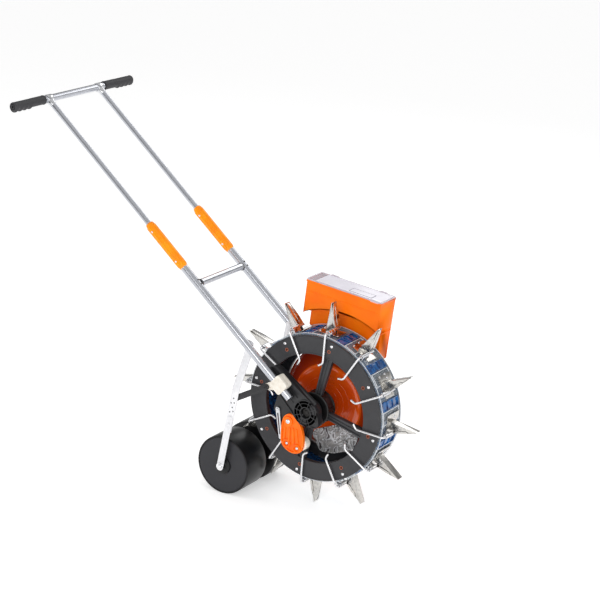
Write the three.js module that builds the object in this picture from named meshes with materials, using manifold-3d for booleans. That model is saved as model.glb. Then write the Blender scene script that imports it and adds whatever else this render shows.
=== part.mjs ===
// Push seeder: a hand-pushed planting wheel with twelve duckbill mouths, a seed hopper,
// a press drum behind the wheel and a long two-tube handle.
// Units are millimetres. +X is forward travel, +Y is the machine's left, +Z is up.
import * as THREE from 'three';
import { mergeVertices } from 'three/addons/utils/BufferGeometryUtils.js';
import Module from 'manifold-3d';

const wasm = await Module();
wasm.setup();
const { Manifold } = wasm;

// ---------------------------------------------------------------- driving dimensions
const GAP = 0.3;                     // running and seating gap between neighbouring pieces
const FACETS = 40;                   // facets round the big rings

const MOUTHS = 12;                   // duckbill mouths round the wheel
const MOUTH_PHASE = THREE.MathUtils.degToRad(3.4);
const RIM_RADIUS = 200;              // outer edge of the side plates
const RIM_BORE_RADIUS = RIM_RADIUS - 50;
const TIP_RADIUS = RIM_RADIUS + 85;  // wheel centre to the planting tips
const WHEEL_WIDTH = 109;             // over both side plates
const PLATE_THICKNESS = 7;
const SPOKES = 4;
const SPOKE_PHASE = THREE.MathUtils.degToRad(14.4);
const SPOKE_WIDTH = 26;
const SPOKE_RIB_HALF = 3;
const SCREWS = 8;
const SCREW_CIRCLE = RIM_RADIUS - 12;
const SCREW_HEAD_RADIUS = 4.5;
const SCREW_HEAD_HEIGHT = 1.6;
const HUB_RADIUS = 46;
const HUB_DEPTH = 38;                // hub length along the axle
const HUB_PROUD = 3.5;               // hub stands this far out of the near plate
const BEARING_RADIUS = 17.5;
const BEARING_WIDTH = 11;

const BAND_THICKNESS = 3;            // clear rim band
const BAND_FLANGE = 4;               // width and height of the flange along each edge
const WINDOW_ANGLE = THREE.MathUtils.degToRad(7);
const WINDOW_OFFSET = THREE.MathUtils.degToRad(14.6);  // block centre, ahead of its mouth
const BLOCK_RADIUS = RIM_RADIUS + 4; // top of the blue blocks
const CHANNEL_RADIUS = RIM_RADIUS - 16;  // blue seed channel ring
const CHANNEL_WALL = 5;

const JAW_BASE_RADIUS = RIM_RADIUS + 3.4;  // top of a mouth's base plate
const JAW_BASE_THICKNESS = 2;
const JAW_BASE_BACK = 34;            // base plate behind and ahead of the mouth
const JAW_BASE_FRONT = 28;
const JAW_BASE_HALF_WIDTH = 22;
const JAW_HALF_WIDTH = 11.4;
const JAW_BACK = 10.5;               // foot of the fixed jaw, behind the mouth's centre line
const CHEEK_FRONT = 11.5;
const SHEET = 1.6;
const SEED_HOLE = [-8, 9, -9, 9];    // opening in the base plate: X from, X to, Y from, Y to
const HINGE_OFFSET = 17.4;           // hinge pin, ahead of the mouth's centre line
const HINGE_RADIUS = RIM_RADIUS + 16;
const ROD_RADIUS = 3;
const HINGE_TUBE_RADIUS = 5.5;
const HINGE_TUBE_INSET = 6.5;        // the hinge tube ends this far inside the wheel's near face
const HINGE_TUBE_CLEARANCE = 1.7;    // and this far from the movable jaw
const SHELF_CLEARANCE = 1.5;         // between a mouth's base plate and the band's flange
const TIP_RECESS = 2;                // the movable jaw is this much shorter than the fixed jaw
const LEVER_PLANE = -WHEEL_WIDTH / 2 - 5.5;  // the levers swing past the near plate here
const LEVER_END_RADIUS = RIM_BORE_RADIUS - 16;
const HOOK_END_OFFSET = 4.1;
const HOOK_END_RADIUS = LEVER_END_RADIUS - 9;

const AXLE_RADIUS = 8;
const NUT_RADIUS = 13;
const NUT_HEIGHT = 7;
const NUT_DEPTH = 6;                 // nuts sit this far inside the arms' outer faces

const HANDLE_ANGLE = THREE.MathUtils.degToRad(40.5);
const TUBE_SPACING = WHEEL_WIDTH + 109;  // between the two handle tubes' centres
const LOWER_TUBE_RADIUS = 11;
const UPPER_TUBE_RADIUS = 8;
const TUBE_WALL = 1.5;
const HANDLE_BAR_AT = 1112;          // distances along the handle, from the axle
const TUBE_START = 54;
const CLAMP_AT = 98;
const DRUM_ARM_AT = 236;
const CROSS_TUBE_AT = 449;
const SPLICE_AT = 583;
const SPLICE_LENGTH = 157;
const SPLICE_RADIUS = 14;
const SPLICE_CHAMFER = 5;
const CROSS_TUBE_RADIUS = 10;
const BAR_RADIUS = 10;
const BAR_WALL = 2;
const BAR_LENGTH = 508;
const GRIP_RADIUS = 12.5;
const GRIP_LENGTH = 127;
const GRIP_CAP = 3;
const COLLAR_WIDTH = 3;
const COLLAR_HEIGHT = 0.8;
const FINGER_RIDGES = 4;             // under each grip, from its outer end
const FINGER_PITCH = 19;
const FINGER_WIDTH = 10;
const FINGER_DROP = 3.5;

const ARM_THICKNESS = 24;
const ARM_HALF_WIDTH = 24;
const ARM_REACH = 130;               // centre of the arm's rounded outer end
const ARM_POCKET_RADIUS = 6;         // the lightening pockets run along the arm
const ARM_POCKET_OFFSET = 11.5;      // either side of its middle
const STRUT_EAR_RADIUS = 11;         // ear on the arm for the drum strut
const ARM_SKIN = 5;
const ARM_NOSE = 34;                 // the arm runs on past the axle to a narrow nose
const ARM_NOSE_RADIUS = 15;
const BOSS_RADIUS = 37;
const CLAMP_SIZE = 48;
const CLAMP_RISE = 8;
const CLAMP_CORNER = 8;
const CLAMP_COVER = 4;               // clamp thickness outside the tube

const DISH_FACE_Y = 8;               // near face of the seed dish
const DISH_RADIUS = RIM_BORE_RADIUS - 4;
const DISH_FACE_RADIUS = DISH_RADIUS - 46;
const DISH_SLOPE_END = 44;
const DISH_WALL = 3;
const DISH_HUB_RADIUS = 24;
const COVER_Y = 47;                  // near face of the dish's back cover
const COVER_THICKNESS = 3;
const WINDOW_THICKNESS = 7;
const WINDOW_BOSS_RADIUS = 8;

const HOPPER_LENGTH = 228;
const HOPPER_WIDTH = 75;
const HOPPER_NEAR_Y = 35;
const HOPPER_TOP_X = 24.5;
const HOPPER_TOP_Z = TIP_RADIUS + 21;
const HOPPER_TILT = THREE.MathUtils.degToRad(6.3);
const HOPPER_BOX_DEPTH = 94;
const HOPPER_WALL = 2.5;
const FUNNEL_NEAR_Y = 60;
const FUNNEL_BACK_DEPTH = 131;       // where the funnel's back and front start to slope in
const FUNNEL_FRONT_DEPTH = 172;
const RECESS_RADIUS = BLOCK_RADIUS + 43;  // the hopper's hollow over the wheel rim
const CHUTE_FRONT = 84;
const CHUTE_BACK = 20;
const CHUTE_TOP = -205;
const CHUTE_FLOOR = -243;
const LUGS = [-88, -64, 64, 88];     // hinge lugs along the hopper, from its middle
const BARRELS = [-76, 76];
const LID_THICKNESS = 3;
const LID_OVERHANG = 2;
const LID_TAB_WIDTH = 24;
const LID_PIN_RADIUS = 2;
const LID_BARREL_RADIUS = 3.6;

const DRUM_RADIUS = 82;
const DRUM_LENGTH = TUBE_SPACING + 2;  // the drum is as wide as the handle
const DRUM_WALL = 4;
const DRUM_WAIST = 40;               // the mouths' tips pass between the drum's two halves
const DRUM_CORE_RADIUS = 24;
const DRUM_RECESS = 6;               // depth of the hollow in each end face
const DRUM_BACK = TIP_RADIUS - 37;   // drum axle behind the wheel axle
const DRUM_AXLE_RADIUS = 7;
const DRUM_HEAD_RADIUS = 11;
const DRUM_ARM_WIDTH = 23;
const DRUM_ARM_THICKNESS = 4;
const CRANK_LOW = 0.66;              // the arm cranks inward between these parts of its height
const CRANK_HIGH = 0.8;
const STRUT_HEIGHT = 17;
const STRUT_THICKNESS = 6;
const STRUT_AT = 0.57;               // where the strut meets the arm, as a part of its height
const STRUT_START = [120, -31];      // strut's front end: along the handle, square to it

const OPENER_FRONT_Y = LEVER_PLANE - 30;
const OPENER_THICKNESS = 10;
const OPENER_OUTLINE = [[-57, -38, 20], [-60, -100, 18], [-29, -106, 18], [-36, -68, 26]];
const OPENER_DIMPLES = [[-60, -100], [-29, -108]];
const CAM_OUTLINE = [[-46, -104, 14], [-22, -98, 18]];
const STRAP_OUTLINE = [[-95, -14, 6.5], [-84, -92, 5]];
const STRAP_THICKNESS = 3;
const WINDOW_OUTLINE = [
  [-14, -96, 20], [-2, -124, 16], [45, -72, 20],
  [82, -78, 22], [76, -98, 20], [28, -122, 16],
];
const WINDOW_BOSSES = [[40, -64], [67, -98]];

// sizes that follow from the driving dimensions
const halfWidth = WHEEL_WIDTH / 2;
const tubeY = TUBE_SPACING / 2;
const armOuterY = tubeY - LOWER_TUBE_RADIUS - GAP;
const armInnerY = armOuterY - ARM_THICKNESS;
const hubNearY = -halfWidth - HUB_PROUD;
const hubFarY = hubNearY + HUB_DEPTH;
const bossInnerY = hubNearY - 1;
const jawBaseUnderside = JAW_BASE_RADIUS - JAW_BASE_THICKNESS;
const groundZ = -TIP_RADIUS * Math.cos(MOUTH_PHASE);
const drumZ = groundZ + DRUM_RADIUS;
const hopperFarY = HOPPER_NEAR_Y + HOPPER_WIDTH;
const lidHingeY = hopperFarY + LID_BARREL_RADIUS + 1.5;
const drumArmY = tubeY + LOWER_TUBE_RADIUS + GAP;

// ---------------------------------------------------------------- materials
const paint = (color, roughness, metalness, opacity = 1) => new THREE.MeshStandardMaterial({
  color,
  roughness,
  metalness,
  opacity,
  transparent: opacity < 1,
});
const materials = {
  blackPlastic: paint(0x2b2b2e, 0.5, 0),
  bluePlastic: paint(0x163f86, 0.35, 0),
  clearPlastic: paint(0xdfe6ea, 0.1, 0, 0.35),
  orangePlastic: paint(0xff7300, 0.35, 0),
  dishPlastic: paint(0xc24a12, 0.3, 0),
  creamPlastic: paint(0xebe4d7, 0.6, 0),
  steel: paint(0xc9ccd0, 0.25, 1),
  tubeMetal: paint(0xb8bbc0, 0.3, 1),
  whiteSteel: paint(0xdcdddf, 0.4, 0.6),
  drumBlack: paint(0x0d0d0f, 0.15, 0),
  gripRubber: paint(0x3c3c3f, 0.8, 0),
  strutBlack: paint(0x1d1d1f, 0.6, 0),
};

// ---------------------------------------------------------------- solid helpers
function solid(geometry) {
  const bare = geometry.index ? geometry.clone() : geometry;
  bare.deleteAttribute('normal');
  bare.deleteAttribute('uv');
  const merged = mergeVertices(bare, 1e-4);
  return new Manifold(new wasm.Mesh({
    numProp: 3,
    vertProperties: new Float32Array(merged.attributes.position.array),
    triVerts: new Uint32Array(merged.index.array),
  }));
}

function geometryOf(body) {
  const mesh = body.getMesh();
  const geometry = new THREE.BufferGeometry();
  geometry.setAttribute('position', new THREE.BufferAttribute(mesh.vertProperties, 3));
  geometry.setIndex(new THREE.BufferAttribute(mesh.triVerts, 1));
  const flat = geometry.toNonIndexed();
  flat.computeVertexNormals();
  return flat;
}

function box(x0, x1, y0, y1, z0, z1) {
  const geometry = new THREE.BoxGeometry(x1 - x0, y1 - y0, z1 - z0);
  geometry.translate((x0 + x1) / 2, (y0 + y1) / 2, (z0 + z1) / 2);
  return solid(geometry);
}

// a cylinder or cone along Y
function disc(radius, y0, y1, facets = 32, radiusAtY0 = radius) {
  const geometry = new THREE.CylinderGeometry(radius, radiusAtY0, y1 - y0, facets);
  geometry.translate(0, (y0 + y1) / 2, 0);
  return solid(geometry);
}

function ring(outer, inner, y0, y1, facets = 32) {
  return disc(outer, y0, y1, facets).subtract(disc(inner, y0 - 1, y1 + 1, facets));
}

// an outline given as [x, z] points, as thick as y0 to y1
function plate(points, y0, y1) {
  const shape = new THREE.Shape(points.map(([x, z]) => new THREE.Vector2(x, z)));
  const geometry = new THREE.ExtrudeGeometry(shape, { depth: y1 - y0, bevelEnabled: false });
  geometry.rotateX(Math.PI / 2);
  geometry.translate(0, y1, 0);
  return solid(geometry);
}

// the rubber-band outline round discs given as [x, z, radius]
function band(circles, y0, y1, facets = 20) {
  return Manifold.hull(circles.map(([x, z, r]) => disc(r, y0, y1, facets).translate(x, 0, z)));
}

// a round bar between two points
function bar(from, to, radius, facets = 6) {
  const a = new THREE.Vector3(...from);
  const b = new THREE.Vector3(...to);
  const geometry = new THREE.CylinderGeometry(radius, radius, a.distanceTo(b), facets);
  const turn = new THREE.Quaternion().setFromUnitVectors(
    new THREE.Vector3(0, 1, 0),
    b.clone().sub(a).normalize(),
  );
  geometry.applyQuaternion(turn);
  const middle = a.add(b).multiplyScalar(0.5);
  geometry.translate(middle.x, middle.y, middle.z);
  return solid(geometry);
}

const union = (...bodies) => Manifold.union(bodies);
const mirrorY = (body) => body.mirror([0, 1, 0]);
const spunAbout = (body, angle) => body.rotate([0, THREE.MathUtils.radToDeg(angle), 0]);
const turns = (count) => Array.from({ length: count }, (_, k) => (k * 2 * Math.PI) / count);

function part(name, body, material, parent) {
  const mesh = new THREE.Mesh(geometryOf(body), material);
  mesh.name = name;
  parent.add(mesh);
  return mesh;
}

// [x, z] as the [x, 0, z] that translate takes
const spread = ([x, z]) => [x, 0, z];

// the point at a distance along the handle line and a height square to it
function onHandle(along, above = 0) {
  const c = Math.cos(HANDLE_ANGLE);
  const s = Math.sin(HANDLE_ANGLE);
  return [-c * along + s * above, s * along + c * above];
}

// ---------------------------------------------------------------- wheel
function nearSidePlate() {
  const face = -halfWidth;
  let body = ring(RIM_RADIUS, RIM_BORE_RADIUS, face, face + PLATE_THICKNESS, FACETS);
  for (const turn of turns(SPOKES)) {
    const half = SPOKE_WIDTH / 2;
    const spoke = box(-half, half, face + 2, face + 12, HUB_RADIUS - 6, RIM_BORE_RADIUS + 3);
    const rib = box(-SPOKE_RIB_HALF, SPOKE_RIB_HALF, face - 1, face + 16, HUB_RADIUS - 6, RIM_BORE_RADIUS);
    body = body.add(spunAbout(union(spoke, rib), turn + SPOKE_PHASE));
  }
  for (const turn of turns(SCREWS)) {
    const head = disc(SCREW_HEAD_RADIUS, face - SCREW_HEAD_HEIGHT, face + 1, 10);
    body = body.add(spunAbout(head.translate(0, 0, SCREW_CIRCLE), turn + SPOKE_PHASE));
  }
  const hub = disc(HUB_RADIUS, hubNearY, hubFarY, 24);
  const bore = disc(BEARING_RADIUS + GAP, hubNearY - 1, hubFarY + 1, 20);
  return body.add(hub).subtract(bore);
}

function farSideRing() {
  const inner = halfWidth - PLATE_THICKNESS;
  let body = ring(RIM_RADIUS, RIM_BORE_RADIUS, inner, halfWidth, FACETS);
  for (const turn of turns(SCREWS)) {
    const head = disc(SCREW_HEAD_RADIUS, halfWidth - 1, halfWidth + SCREW_HEAD_HEIGHT, 10);
    body = body.add(spunAbout(head.translate(0, 0, SCREW_CIRCLE), turn + SPOKE_PHASE));
  }
  return body;
}

function clearRimBand() {
  const half = halfWidth - PLATE_THICKNESS - GAP;
  const top = jawBaseUnderside - GAP;
  let body = ring(top, top - BAND_THICKNESS, -half, half, FACETS);
  for (const y0 of [-half, half - BAND_FLANGE]) {
    body = body.add(ring(top + BAND_FLANGE, top - 1, y0, y0 + BAND_FLANGE, FACETS));
  }
  const blockHalf = BLOCK_RADIUS * Math.sin(WINDOW_ANGLE / 2) + GAP;
  for (const turn of turns(MOUTHS)) {
    const window = box(-blockHalf, blockHalf, -half + BAND_FLANGE, half - BAND_FLANGE, top - 12, top + 12);
    body = body.subtract(spunAbout(window, turn + MOUTH_PHASE + WINDOW_OFFSET));
    const seedHole = box(...SEED_HOLE, top - 12, top + 12);
    body = body.subtract(spunAbout(seedHole, turn + MOUTH_PHASE));
  }
  return body;
}

function seedChannelRing() {
  const half = halfWidth - PLATE_THICKNESS - 6;
  let body = ring(CHANNEL_RADIUS, CHANNEL_RADIUS - CHANNEL_WALL, -half, half, FACETS);
  const blockHalf = BLOCK_RADIUS * Math.sin(WINDOW_ANGLE / 2);
  for (const turn of turns(MOUTHS)) {
    const block = box(-blockHalf, blockHalf, -half, half, CHANNEL_RADIUS - 3, BLOCK_RADIUS);
    body = body.add(spunAbout(block, turn + MOUTH_PHASE + WINDOW_OFFSET));
    const seedHole = box(...SEED_HOLE, CHANNEL_RADIUS - 12, CHANNEL_RADIUS + 12);
    body = body.subtract(spunAbout(seedHole, turn + MOUTH_PHASE));
  }
  return body;
}

function hubBearing(y0) {
  return ring(BEARING_RADIUS, AXLE_RADIUS + GAP, y0, y0 + BEARING_WIDTH, 20);
}

// A mouth is drawn at the top of the wheel: X runs round the rim, Z runs outward.
// The movable jaw's closed face runs from the hinge pin to just ahead of the tip.
const movableReach = TIP_RADIUS - TIP_RECESS;
const faceHalf = JAW_HALF_WIDTH + GAP + SHEET;  // half width of the movable jaw
const leadX = (z) => {
  const tipX = 1.2;
  const share = (z - HINGE_RADIUS) / (movableReach - HINGE_RADIUS);
  return HINGE_OFFSET + (tipX - HINGE_OFFSET) * share;
};

function fixedJaw() {
  const low = jawBaseUnderside;
  const rootZ = low + 0.5;
  const tubeY0 = -halfWidth + HINGE_TUBE_INSET;
  const tubeY1 = -faceHalf - HINGE_TUBE_CLEARANCE;
  const shelfY = -halfWidth + PLATE_THICKNESS + BAND_FLANGE + SHELF_CLEARANCE;
  const half = JAW_BASE_HALF_WIDTH;
  const base = box(-JAW_BASE_BACK, JAW_BASE_FRONT, -half, half, low, JAW_BASE_RADIUS);
  const shelf = box(6, JAW_BASE_FRONT, shelfY, 2 - half, low, JAW_BASE_RADIUS);
  const webTop = HINGE_RADIUS - 4;
  const web = box(HINGE_OFFSET - 3, HINGE_OFFSET + 3, shelfY, tubeY1 - 1, low, webTop);
  const tube = disc(HINGE_TUBE_RADIUS, tubeY0, tubeY1, 8).translate(HINGE_OFFSET, 0, HINGE_RADIUS);
  const boreRadius = ROD_RADIUS + GAP + 0.4;
  const tubeBore = disc(boreRadius, LEVER_PLANE, JAW_HALF_WIDTH + 5, 8)
    .translate(HINGE_OFFSET, 0, HINGE_RADIUS);
  const back = plate([
    [-JAW_BACK, rootZ],
    [-JAW_BACK + SHEET, rootZ],
    [0, TIP_RADIUS - 1.5],
    [0, TIP_RADIUS],
    [-SHEET, TIP_RADIUS],
  ], -JAW_HALF_WIDTH, JAW_HALF_WIDTH);
  const cheekOutline = [
    [-JAW_BACK, rootZ],
    [CHEEK_FRONT, rootZ],
    [CHEEK_FRONT, HINGE_RADIUS + 19],
    [leadX(TIP_RADIUS - 3) - 1.4, TIP_RADIUS - 3],
    [-SHEET, TIP_RADIUS - 0.5],
  ];
  const cheeks = [-JAW_HALF_WIDTH, JAW_HALF_WIDTH - SHEET].map((y) => plate(cheekOutline, y, y + SHEET));
  const seedHole = box(...SEED_HOLE, low - 1, JAW_BASE_RADIUS + 1);
  return union(base, shelf, web, tube, back, ...cheeks).subtract(seedHole).subtract(tubeBore);
}

function movableJaw() {
  const face = plate([
    [leadX(HINGE_RADIUS) - 0.8, HINGE_RADIUS],
    [leadX(HINGE_RADIUS) + 0.9, HINGE_RADIUS],
    [leadX(movableReach) + 0.9, movableReach],
    [leadX(movableReach) - 0.8, movableReach],
  ], -faceHalf, faceHalf);
  const cheekDepth = 8;
  const cheekOutline = [
    [leadX(HINGE_RADIUS + 8) - cheekDepth * 0.6, HINGE_RADIUS + 8],
    [leadX(HINGE_RADIUS + 6), HINGE_RADIUS + 6],
    [leadX(movableReach - 4), movableReach - 4],
    [leadX(movableReach - 22) - cheekDepth, movableReach - 22],
  ];
  const cheeks = [-faceHalf, faceHalf - SHEET].map((y) => plate(cheekOutline, y, y + SHEET));
  const over = ROD_RADIUS * 0.8;
  const x = HINGE_OFFSET;
  const rod = bar([x, LEVER_PLANE - over, HINGE_RADIUS], [x, faceHalf, HINGE_RADIUS], ROD_RADIUS);
  const leverTop = [x, LEVER_PLANE, HINGE_RADIUS + over];
  const lever = bar(leverTop, [x, LEVER_PLANE, LEVER_END_RADIUS - over], ROD_RADIUS);
  const hookStart = [x + over / 2, LEVER_PLANE, LEVER_END_RADIUS + 1];
  const hook = bar(hookStart, [HOOK_END_OFFSET, LEVER_PLANE, HOOK_END_RADIUS], ROD_RADIUS);
  return union(face, ...cheeks, rod, lever, hook);
}

// ---------------------------------------------------------------- frame
function axle() {
  const nutFace = armOuterY - NUT_DEPTH;
  const nut = disc(NUT_RADIUS, nutFace - NUT_HEIGHT, nutFace, 6);
  return union(disc(AXLE_RADIUS, -armOuterY + 4, armOuterY - 4, 24), nut, mirrorY(nut));
}

// the arm is drawn on the far side and mirrored to the near side
function sideArm(extraLobe) {
  const [endX, endZ] = onHandle(ARM_REACH);
  const [noseX, noseZ] = onHandle(-ARM_NOSE);
  const ear = [...onHandle(...STRUT_START), STRUT_EAR_RADIUS];
  const [earRootX, earRootZ] = onHandle(CLAMP_AT);
  let body = union(
    band([[0, 0, BOSS_RADIUS], [endX, endZ, ARM_HALF_WIDTH]], armInnerY, armOuterY, 32),
    band([[0, 0, BOSS_RADIUS], [noseX, noseZ, ARM_NOSE_RADIUS]], armInnerY, armOuterY, 32),
    band([ear, [earRootX, earRootZ, ARM_HALF_WIDTH - 4]], armInnerY, armOuterY, 20),
  );
  if (extraLobe) {
    body = body.add(extraLobe);
  }
  const pocketFloor = armOuterY - ARM_SKIN;
  for (const above of [-ARM_POCKET_OFFSET, ARM_POCKET_OFFSET]) {
    const from = [...onHandle(BOSS_RADIUS + 16, above), ARM_POCKET_RADIUS];
    const to = [...onHandle(ARM_REACH + 8, above), ARM_POCKET_RADIUS];
    body = body.subtract(band([from, to], armInnerY - 1, pocketFloor, 16));
  }
  const boss = disc(BOSS_RADIUS - 8, -bossInnerY, armInnerY + 2, 32);
  const bore = disc(AXLE_RADIUS + GAP, 0, tubeY, 24);
  const nutPocket = disc(NUT_RADIUS + 2, armOuterY - NUT_DEPTH - NUT_HEIGHT - GAP, armOuterY + 5, 32);
  return body.add(boss).subtract(bore).subtract(nutPocket);
}

// the near arm also carries the opener, on a lobe below the tube
function nearSideArm() {
  const seat = -OPENER_FRONT_Y - OPENER_THICKNESS - GAP;
  const lobe = Manifold.hull([[-58, -36, 22], [-96, -14, 13], [0, 0, 20], [-86, 30, 10]].map(
    ([x, z, radius]) => disc(radius, armInnerY, seat, 20).translate(x, 0, z),
  ));
  const recess = Manifold.hull([[-58, -36, 24], [-54, -80, 24], [-94, -14, 12]].map(
    ([x, z, radius]) => disc(radius, seat, tubeY, 24).translate(x, 0, z),
  ));
  return mirrorY(sideArm(lobe).subtract(recess));
}

function tubeClamp(side) {
  const half = CLAMP_SIZE / 2 - CLAMP_CORNER;
  const y0 = armOuterY + GAP;
  const y1 = tubeY + LOWER_TUBE_RADIUS + CLAMP_COVER;
  const corners = [];
  for (const du of [-half, half]) {
    for (const dv of [-half, half]) {
      corners.push([...onHandle(CLAMP_AT + du, CLAMP_RISE + dv), CLAMP_CORNER]);
    }
  }
  const [ax, az] = onHandle(CLAMP_AT - CLAMP_SIZE);
  const [bx, bz] = onHandle(CLAMP_AT + CLAMP_SIZE);
  const bore = bar([ax, tubeY, az], [bx, tubeY, bz], LOWER_TUBE_RADIUS + GAP, 24);
  const slot = Manifold.hull([
    bar([ax, y0 - 20, az], [bx, y0 - 20, bz], LOWER_TUBE_RADIUS * 0.6, 12),
    bar([ax, tubeY, az], [bx, tubeY, bz], LOWER_TUBE_RADIUS * 0.6, 12),
  ]);
  const body = band(corners, y0, y1, 16).subtract(bore).subtract(slot);
  return side < 0 ? mirrorY(body) : body;
}

function handleTube(side, from, to, radius) {
  const y = side * tubeY;
  const [ax, az] = onHandle(from);
  const [bx, bz] = onHandle(to);
  const [px, pz] = onHandle(from - 5);
  const [qx, qz] = onHandle(to + 5);
  const outer = bar([ax, y, az], [bx, y, bz], radius, 16);
  return outer.subtract(bar([px, y, pz], [qx, y, qz], radius - TUBE_WALL, 16));
}

function spliceSleeve(side) {
  const y = side * tubeY;
  const at = (along) => {
    const [x, z] = onHandle(SPLICE_AT + along);
    return [x, y, z];
  };
  const half = SPLICE_LENGTH / 2;
  const chamfer = SPLICE_CHAMFER;
  const shell = Manifold.hull([
    bar(at(-half), at(half), SPLICE_RADIUS - chamfer / 2, 8),
    bar(at(-half + chamfer), at(half - chamfer), SPLICE_RADIUS, 8),
  ]);
  const lowerBore = bar(at(-half - 5), at(0), LOWER_TUBE_RADIUS + GAP, 16);
  const upperBore = bar(at(-1), at(half + 5), UPPER_TUBE_RADIUS + GAP, 16);
  return shell.subtract(lowerBore).subtract(upperBore);
}

function crossTube() {
  const [x, z] = onHandle(CROSS_TUBE_AT);
  const half = tubeY - LOWER_TUBE_RADIUS - GAP;
  return ring(CROSS_TUBE_RADIUS, CROSS_TUBE_RADIUS - TUBE_WALL, -half, half, 20).translate(x, 0, z);
}

function handleBar() {
  const [x, z] = onHandle(HANDLE_BAR_AT);
  const half = BAR_LENGTH / 2;
  return ring(BAR_RADIUS, BAR_RADIUS - BAR_WALL, -half, half, 24).translate(x, 0, z);
}

function grip(side) {
  const [x, z] = onHandle(HANDLE_BAR_AT);
  const end = BAR_LENGTH / 2 + GRIP_CAP;
  const shell = disc(GRIP_RADIUS, end - GRIP_LENGTH, end, 24);
  const collar = disc(GRIP_RADIUS + COLLAR_HEIGHT, end - GRIP_LENGTH, end - GRIP_LENGTH + COLLAR_WIDTH, 24);
  const bore = disc(BAR_RADIUS + GAP, 0, BAR_LENGTH / 2 + GAP, 24);
  const ridges = Array.from({ length: FINGER_RIDGES }, (_, i) => {
    const outer = end - i * FINGER_PITCH;
    return disc(GRIP_RADIUS, outer - FINGER_WIDTH, outer, 24).translate(0, 0, -FINGER_DROP);
  });
  const body = union(shell, collar, ...ridges).subtract(bore).translate(x, 0, z);
  return side < 0 ? mirrorY(body) : body;
}

// ---------------------------------------------------------------- opener
function openerPlate() {
  const [boltX, boltZ] = OPENER_OUTLINE[0];
  const body = band(OPENER_OUTLINE, OPENER_FRONT_Y, OPENER_FRONT_Y + OPENER_THICKNESS);
  const dimples = OPENER_DIMPLES.map(([x, z]) => (
    ring(11, 6, OPENER_FRONT_Y - 1, OPENER_FRONT_Y + OPENER_THICKNESS / 2, 16).translate(x, 0, z)
  ));
  const bolt = disc(7, OPENER_FRONT_Y - 3, OPENER_FRONT_Y + 2, 16).translate(boltX, 0, boltZ);
  return body.subtract(union(...dimples)).add(bolt);
}

function openerCam() {
  return band(CAM_OUTLINE, OPENER_FRONT_Y + OPENER_THICKNESS + GAP, LEVER_PLANE + 1.5, 20);
}

function openerStrap() {
  const y0 = OPENER_FRONT_Y + OPENER_THICKNESS - STRAP_THICKNESS;
  const [boltX, boltZ, boltRadius] = STRAP_OUTLINE[0];
  const bolt = disc(boltRadius - 0.5, y0 - 3, y0 + 1, 6).translate(boltX, 0, boltZ);
  return band(STRAP_OUTLINE, y0, y0 + STRAP_THICKNESS, 12).add(bolt);
}

// ---------------------------------------------------------------- seed dish, hopper and lid
function seedDish() {
  const lipY = halfWidth - 2;
  const slopeEnd = DISH_SLOPE_END;
  const outer = union(
    disc(DISH_RADIUS, slopeEnd, lipY, FACETS),
    disc(DISH_RADIUS, DISH_FACE_Y, slopeEnd, FACETS, DISH_FACE_RADIUS),
  );
  const inner = union(
    disc(DISH_RADIUS - DISH_WALL, slopeEnd, lipY + 5, FACETS),
    disc(DISH_RADIUS - DISH_WALL, DISH_FACE_Y + DISH_WALL, slopeEnd, FACETS, DISH_FACE_RADIUS - 1),
  );
  const hub = disc(DISH_HUB_RADIUS, hubFarY + 1, -bossInnerY - GAP, 32);
  const bore = disc(AXLE_RADIUS + GAP, -100, 100, 24);
  const outlet = box(-32, 32, 16, COVER_Y - 4, -DISH_RADIUS - 5, -DISH_FACE_RADIUS - 12);
  return outer.subtract(inner).add(hub).subtract(bore).subtract(outlet);
}

// the far cover closes the dish's back, and its duct leads the seed in from the hopper
function seedInletCover() {
  const w = HOPPER_WALL;
  const farY = hopperFarY;
  const top = CHUTE_TOP - GAP;
  const y0 = COVER_Y;
  const y1 = COVER_Y + COVER_THICKNESS;
  const cover = ring(DISH_RADIUS - DISH_WALL - GAP, DISH_HUB_RADIUS + GAP, y0, y1, FACETS);
  const duct = box(CHUTE_BACK, CHUTE_FRONT, y1 - 1, farY, CHUTE_FLOOR, top);
  const passage = box(CHUTE_BACK + w, CHUTE_FRONT - w, y0 - 1, farY - w, CHUTE_FLOOR + w, top - w);
  const inlet = box(CHUTE_BACK + w, CHUTE_FRONT - w, FUNNEL_NEAR_Y + w, farY - w, top - 10, top + 1);
  return cover.add(inHopperFrame(duct)).subtract(inHopperFrame(union(passage, inlet)));
}

function seedWindow() {
  const back = DISH_FACE_Y - GAP;
  const front = back - WINDOW_THICKNESS;
  const bosses = WINDOW_BOSSES.map(([x, z]) => (
    disc(WINDOW_BOSS_RADIUS, front - 5, front + 2, 16).translate(x, 0, z)
  ));
  return union(band(WINDOW_OUTLINE, front, back), ...bosses);
}

// the hopper is drawn level, from the middle of its top edge, then tilted into place
function inHopperFrame(body) {
  return spunAbout(body, HOPPER_TILT).translate(HOPPER_TOP_X, 0, HOPPER_TOP_Z);
}

function wheelClearance(radius, depth) {
  return disc(radius, -100, depth, FACETS * 2)
    .translate(-HOPPER_TOP_X, 0, -HOPPER_TOP_Z)
    .rotate([0, -THREE.MathUtils.radToDeg(HOPPER_TILT), 0]);
}

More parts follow.
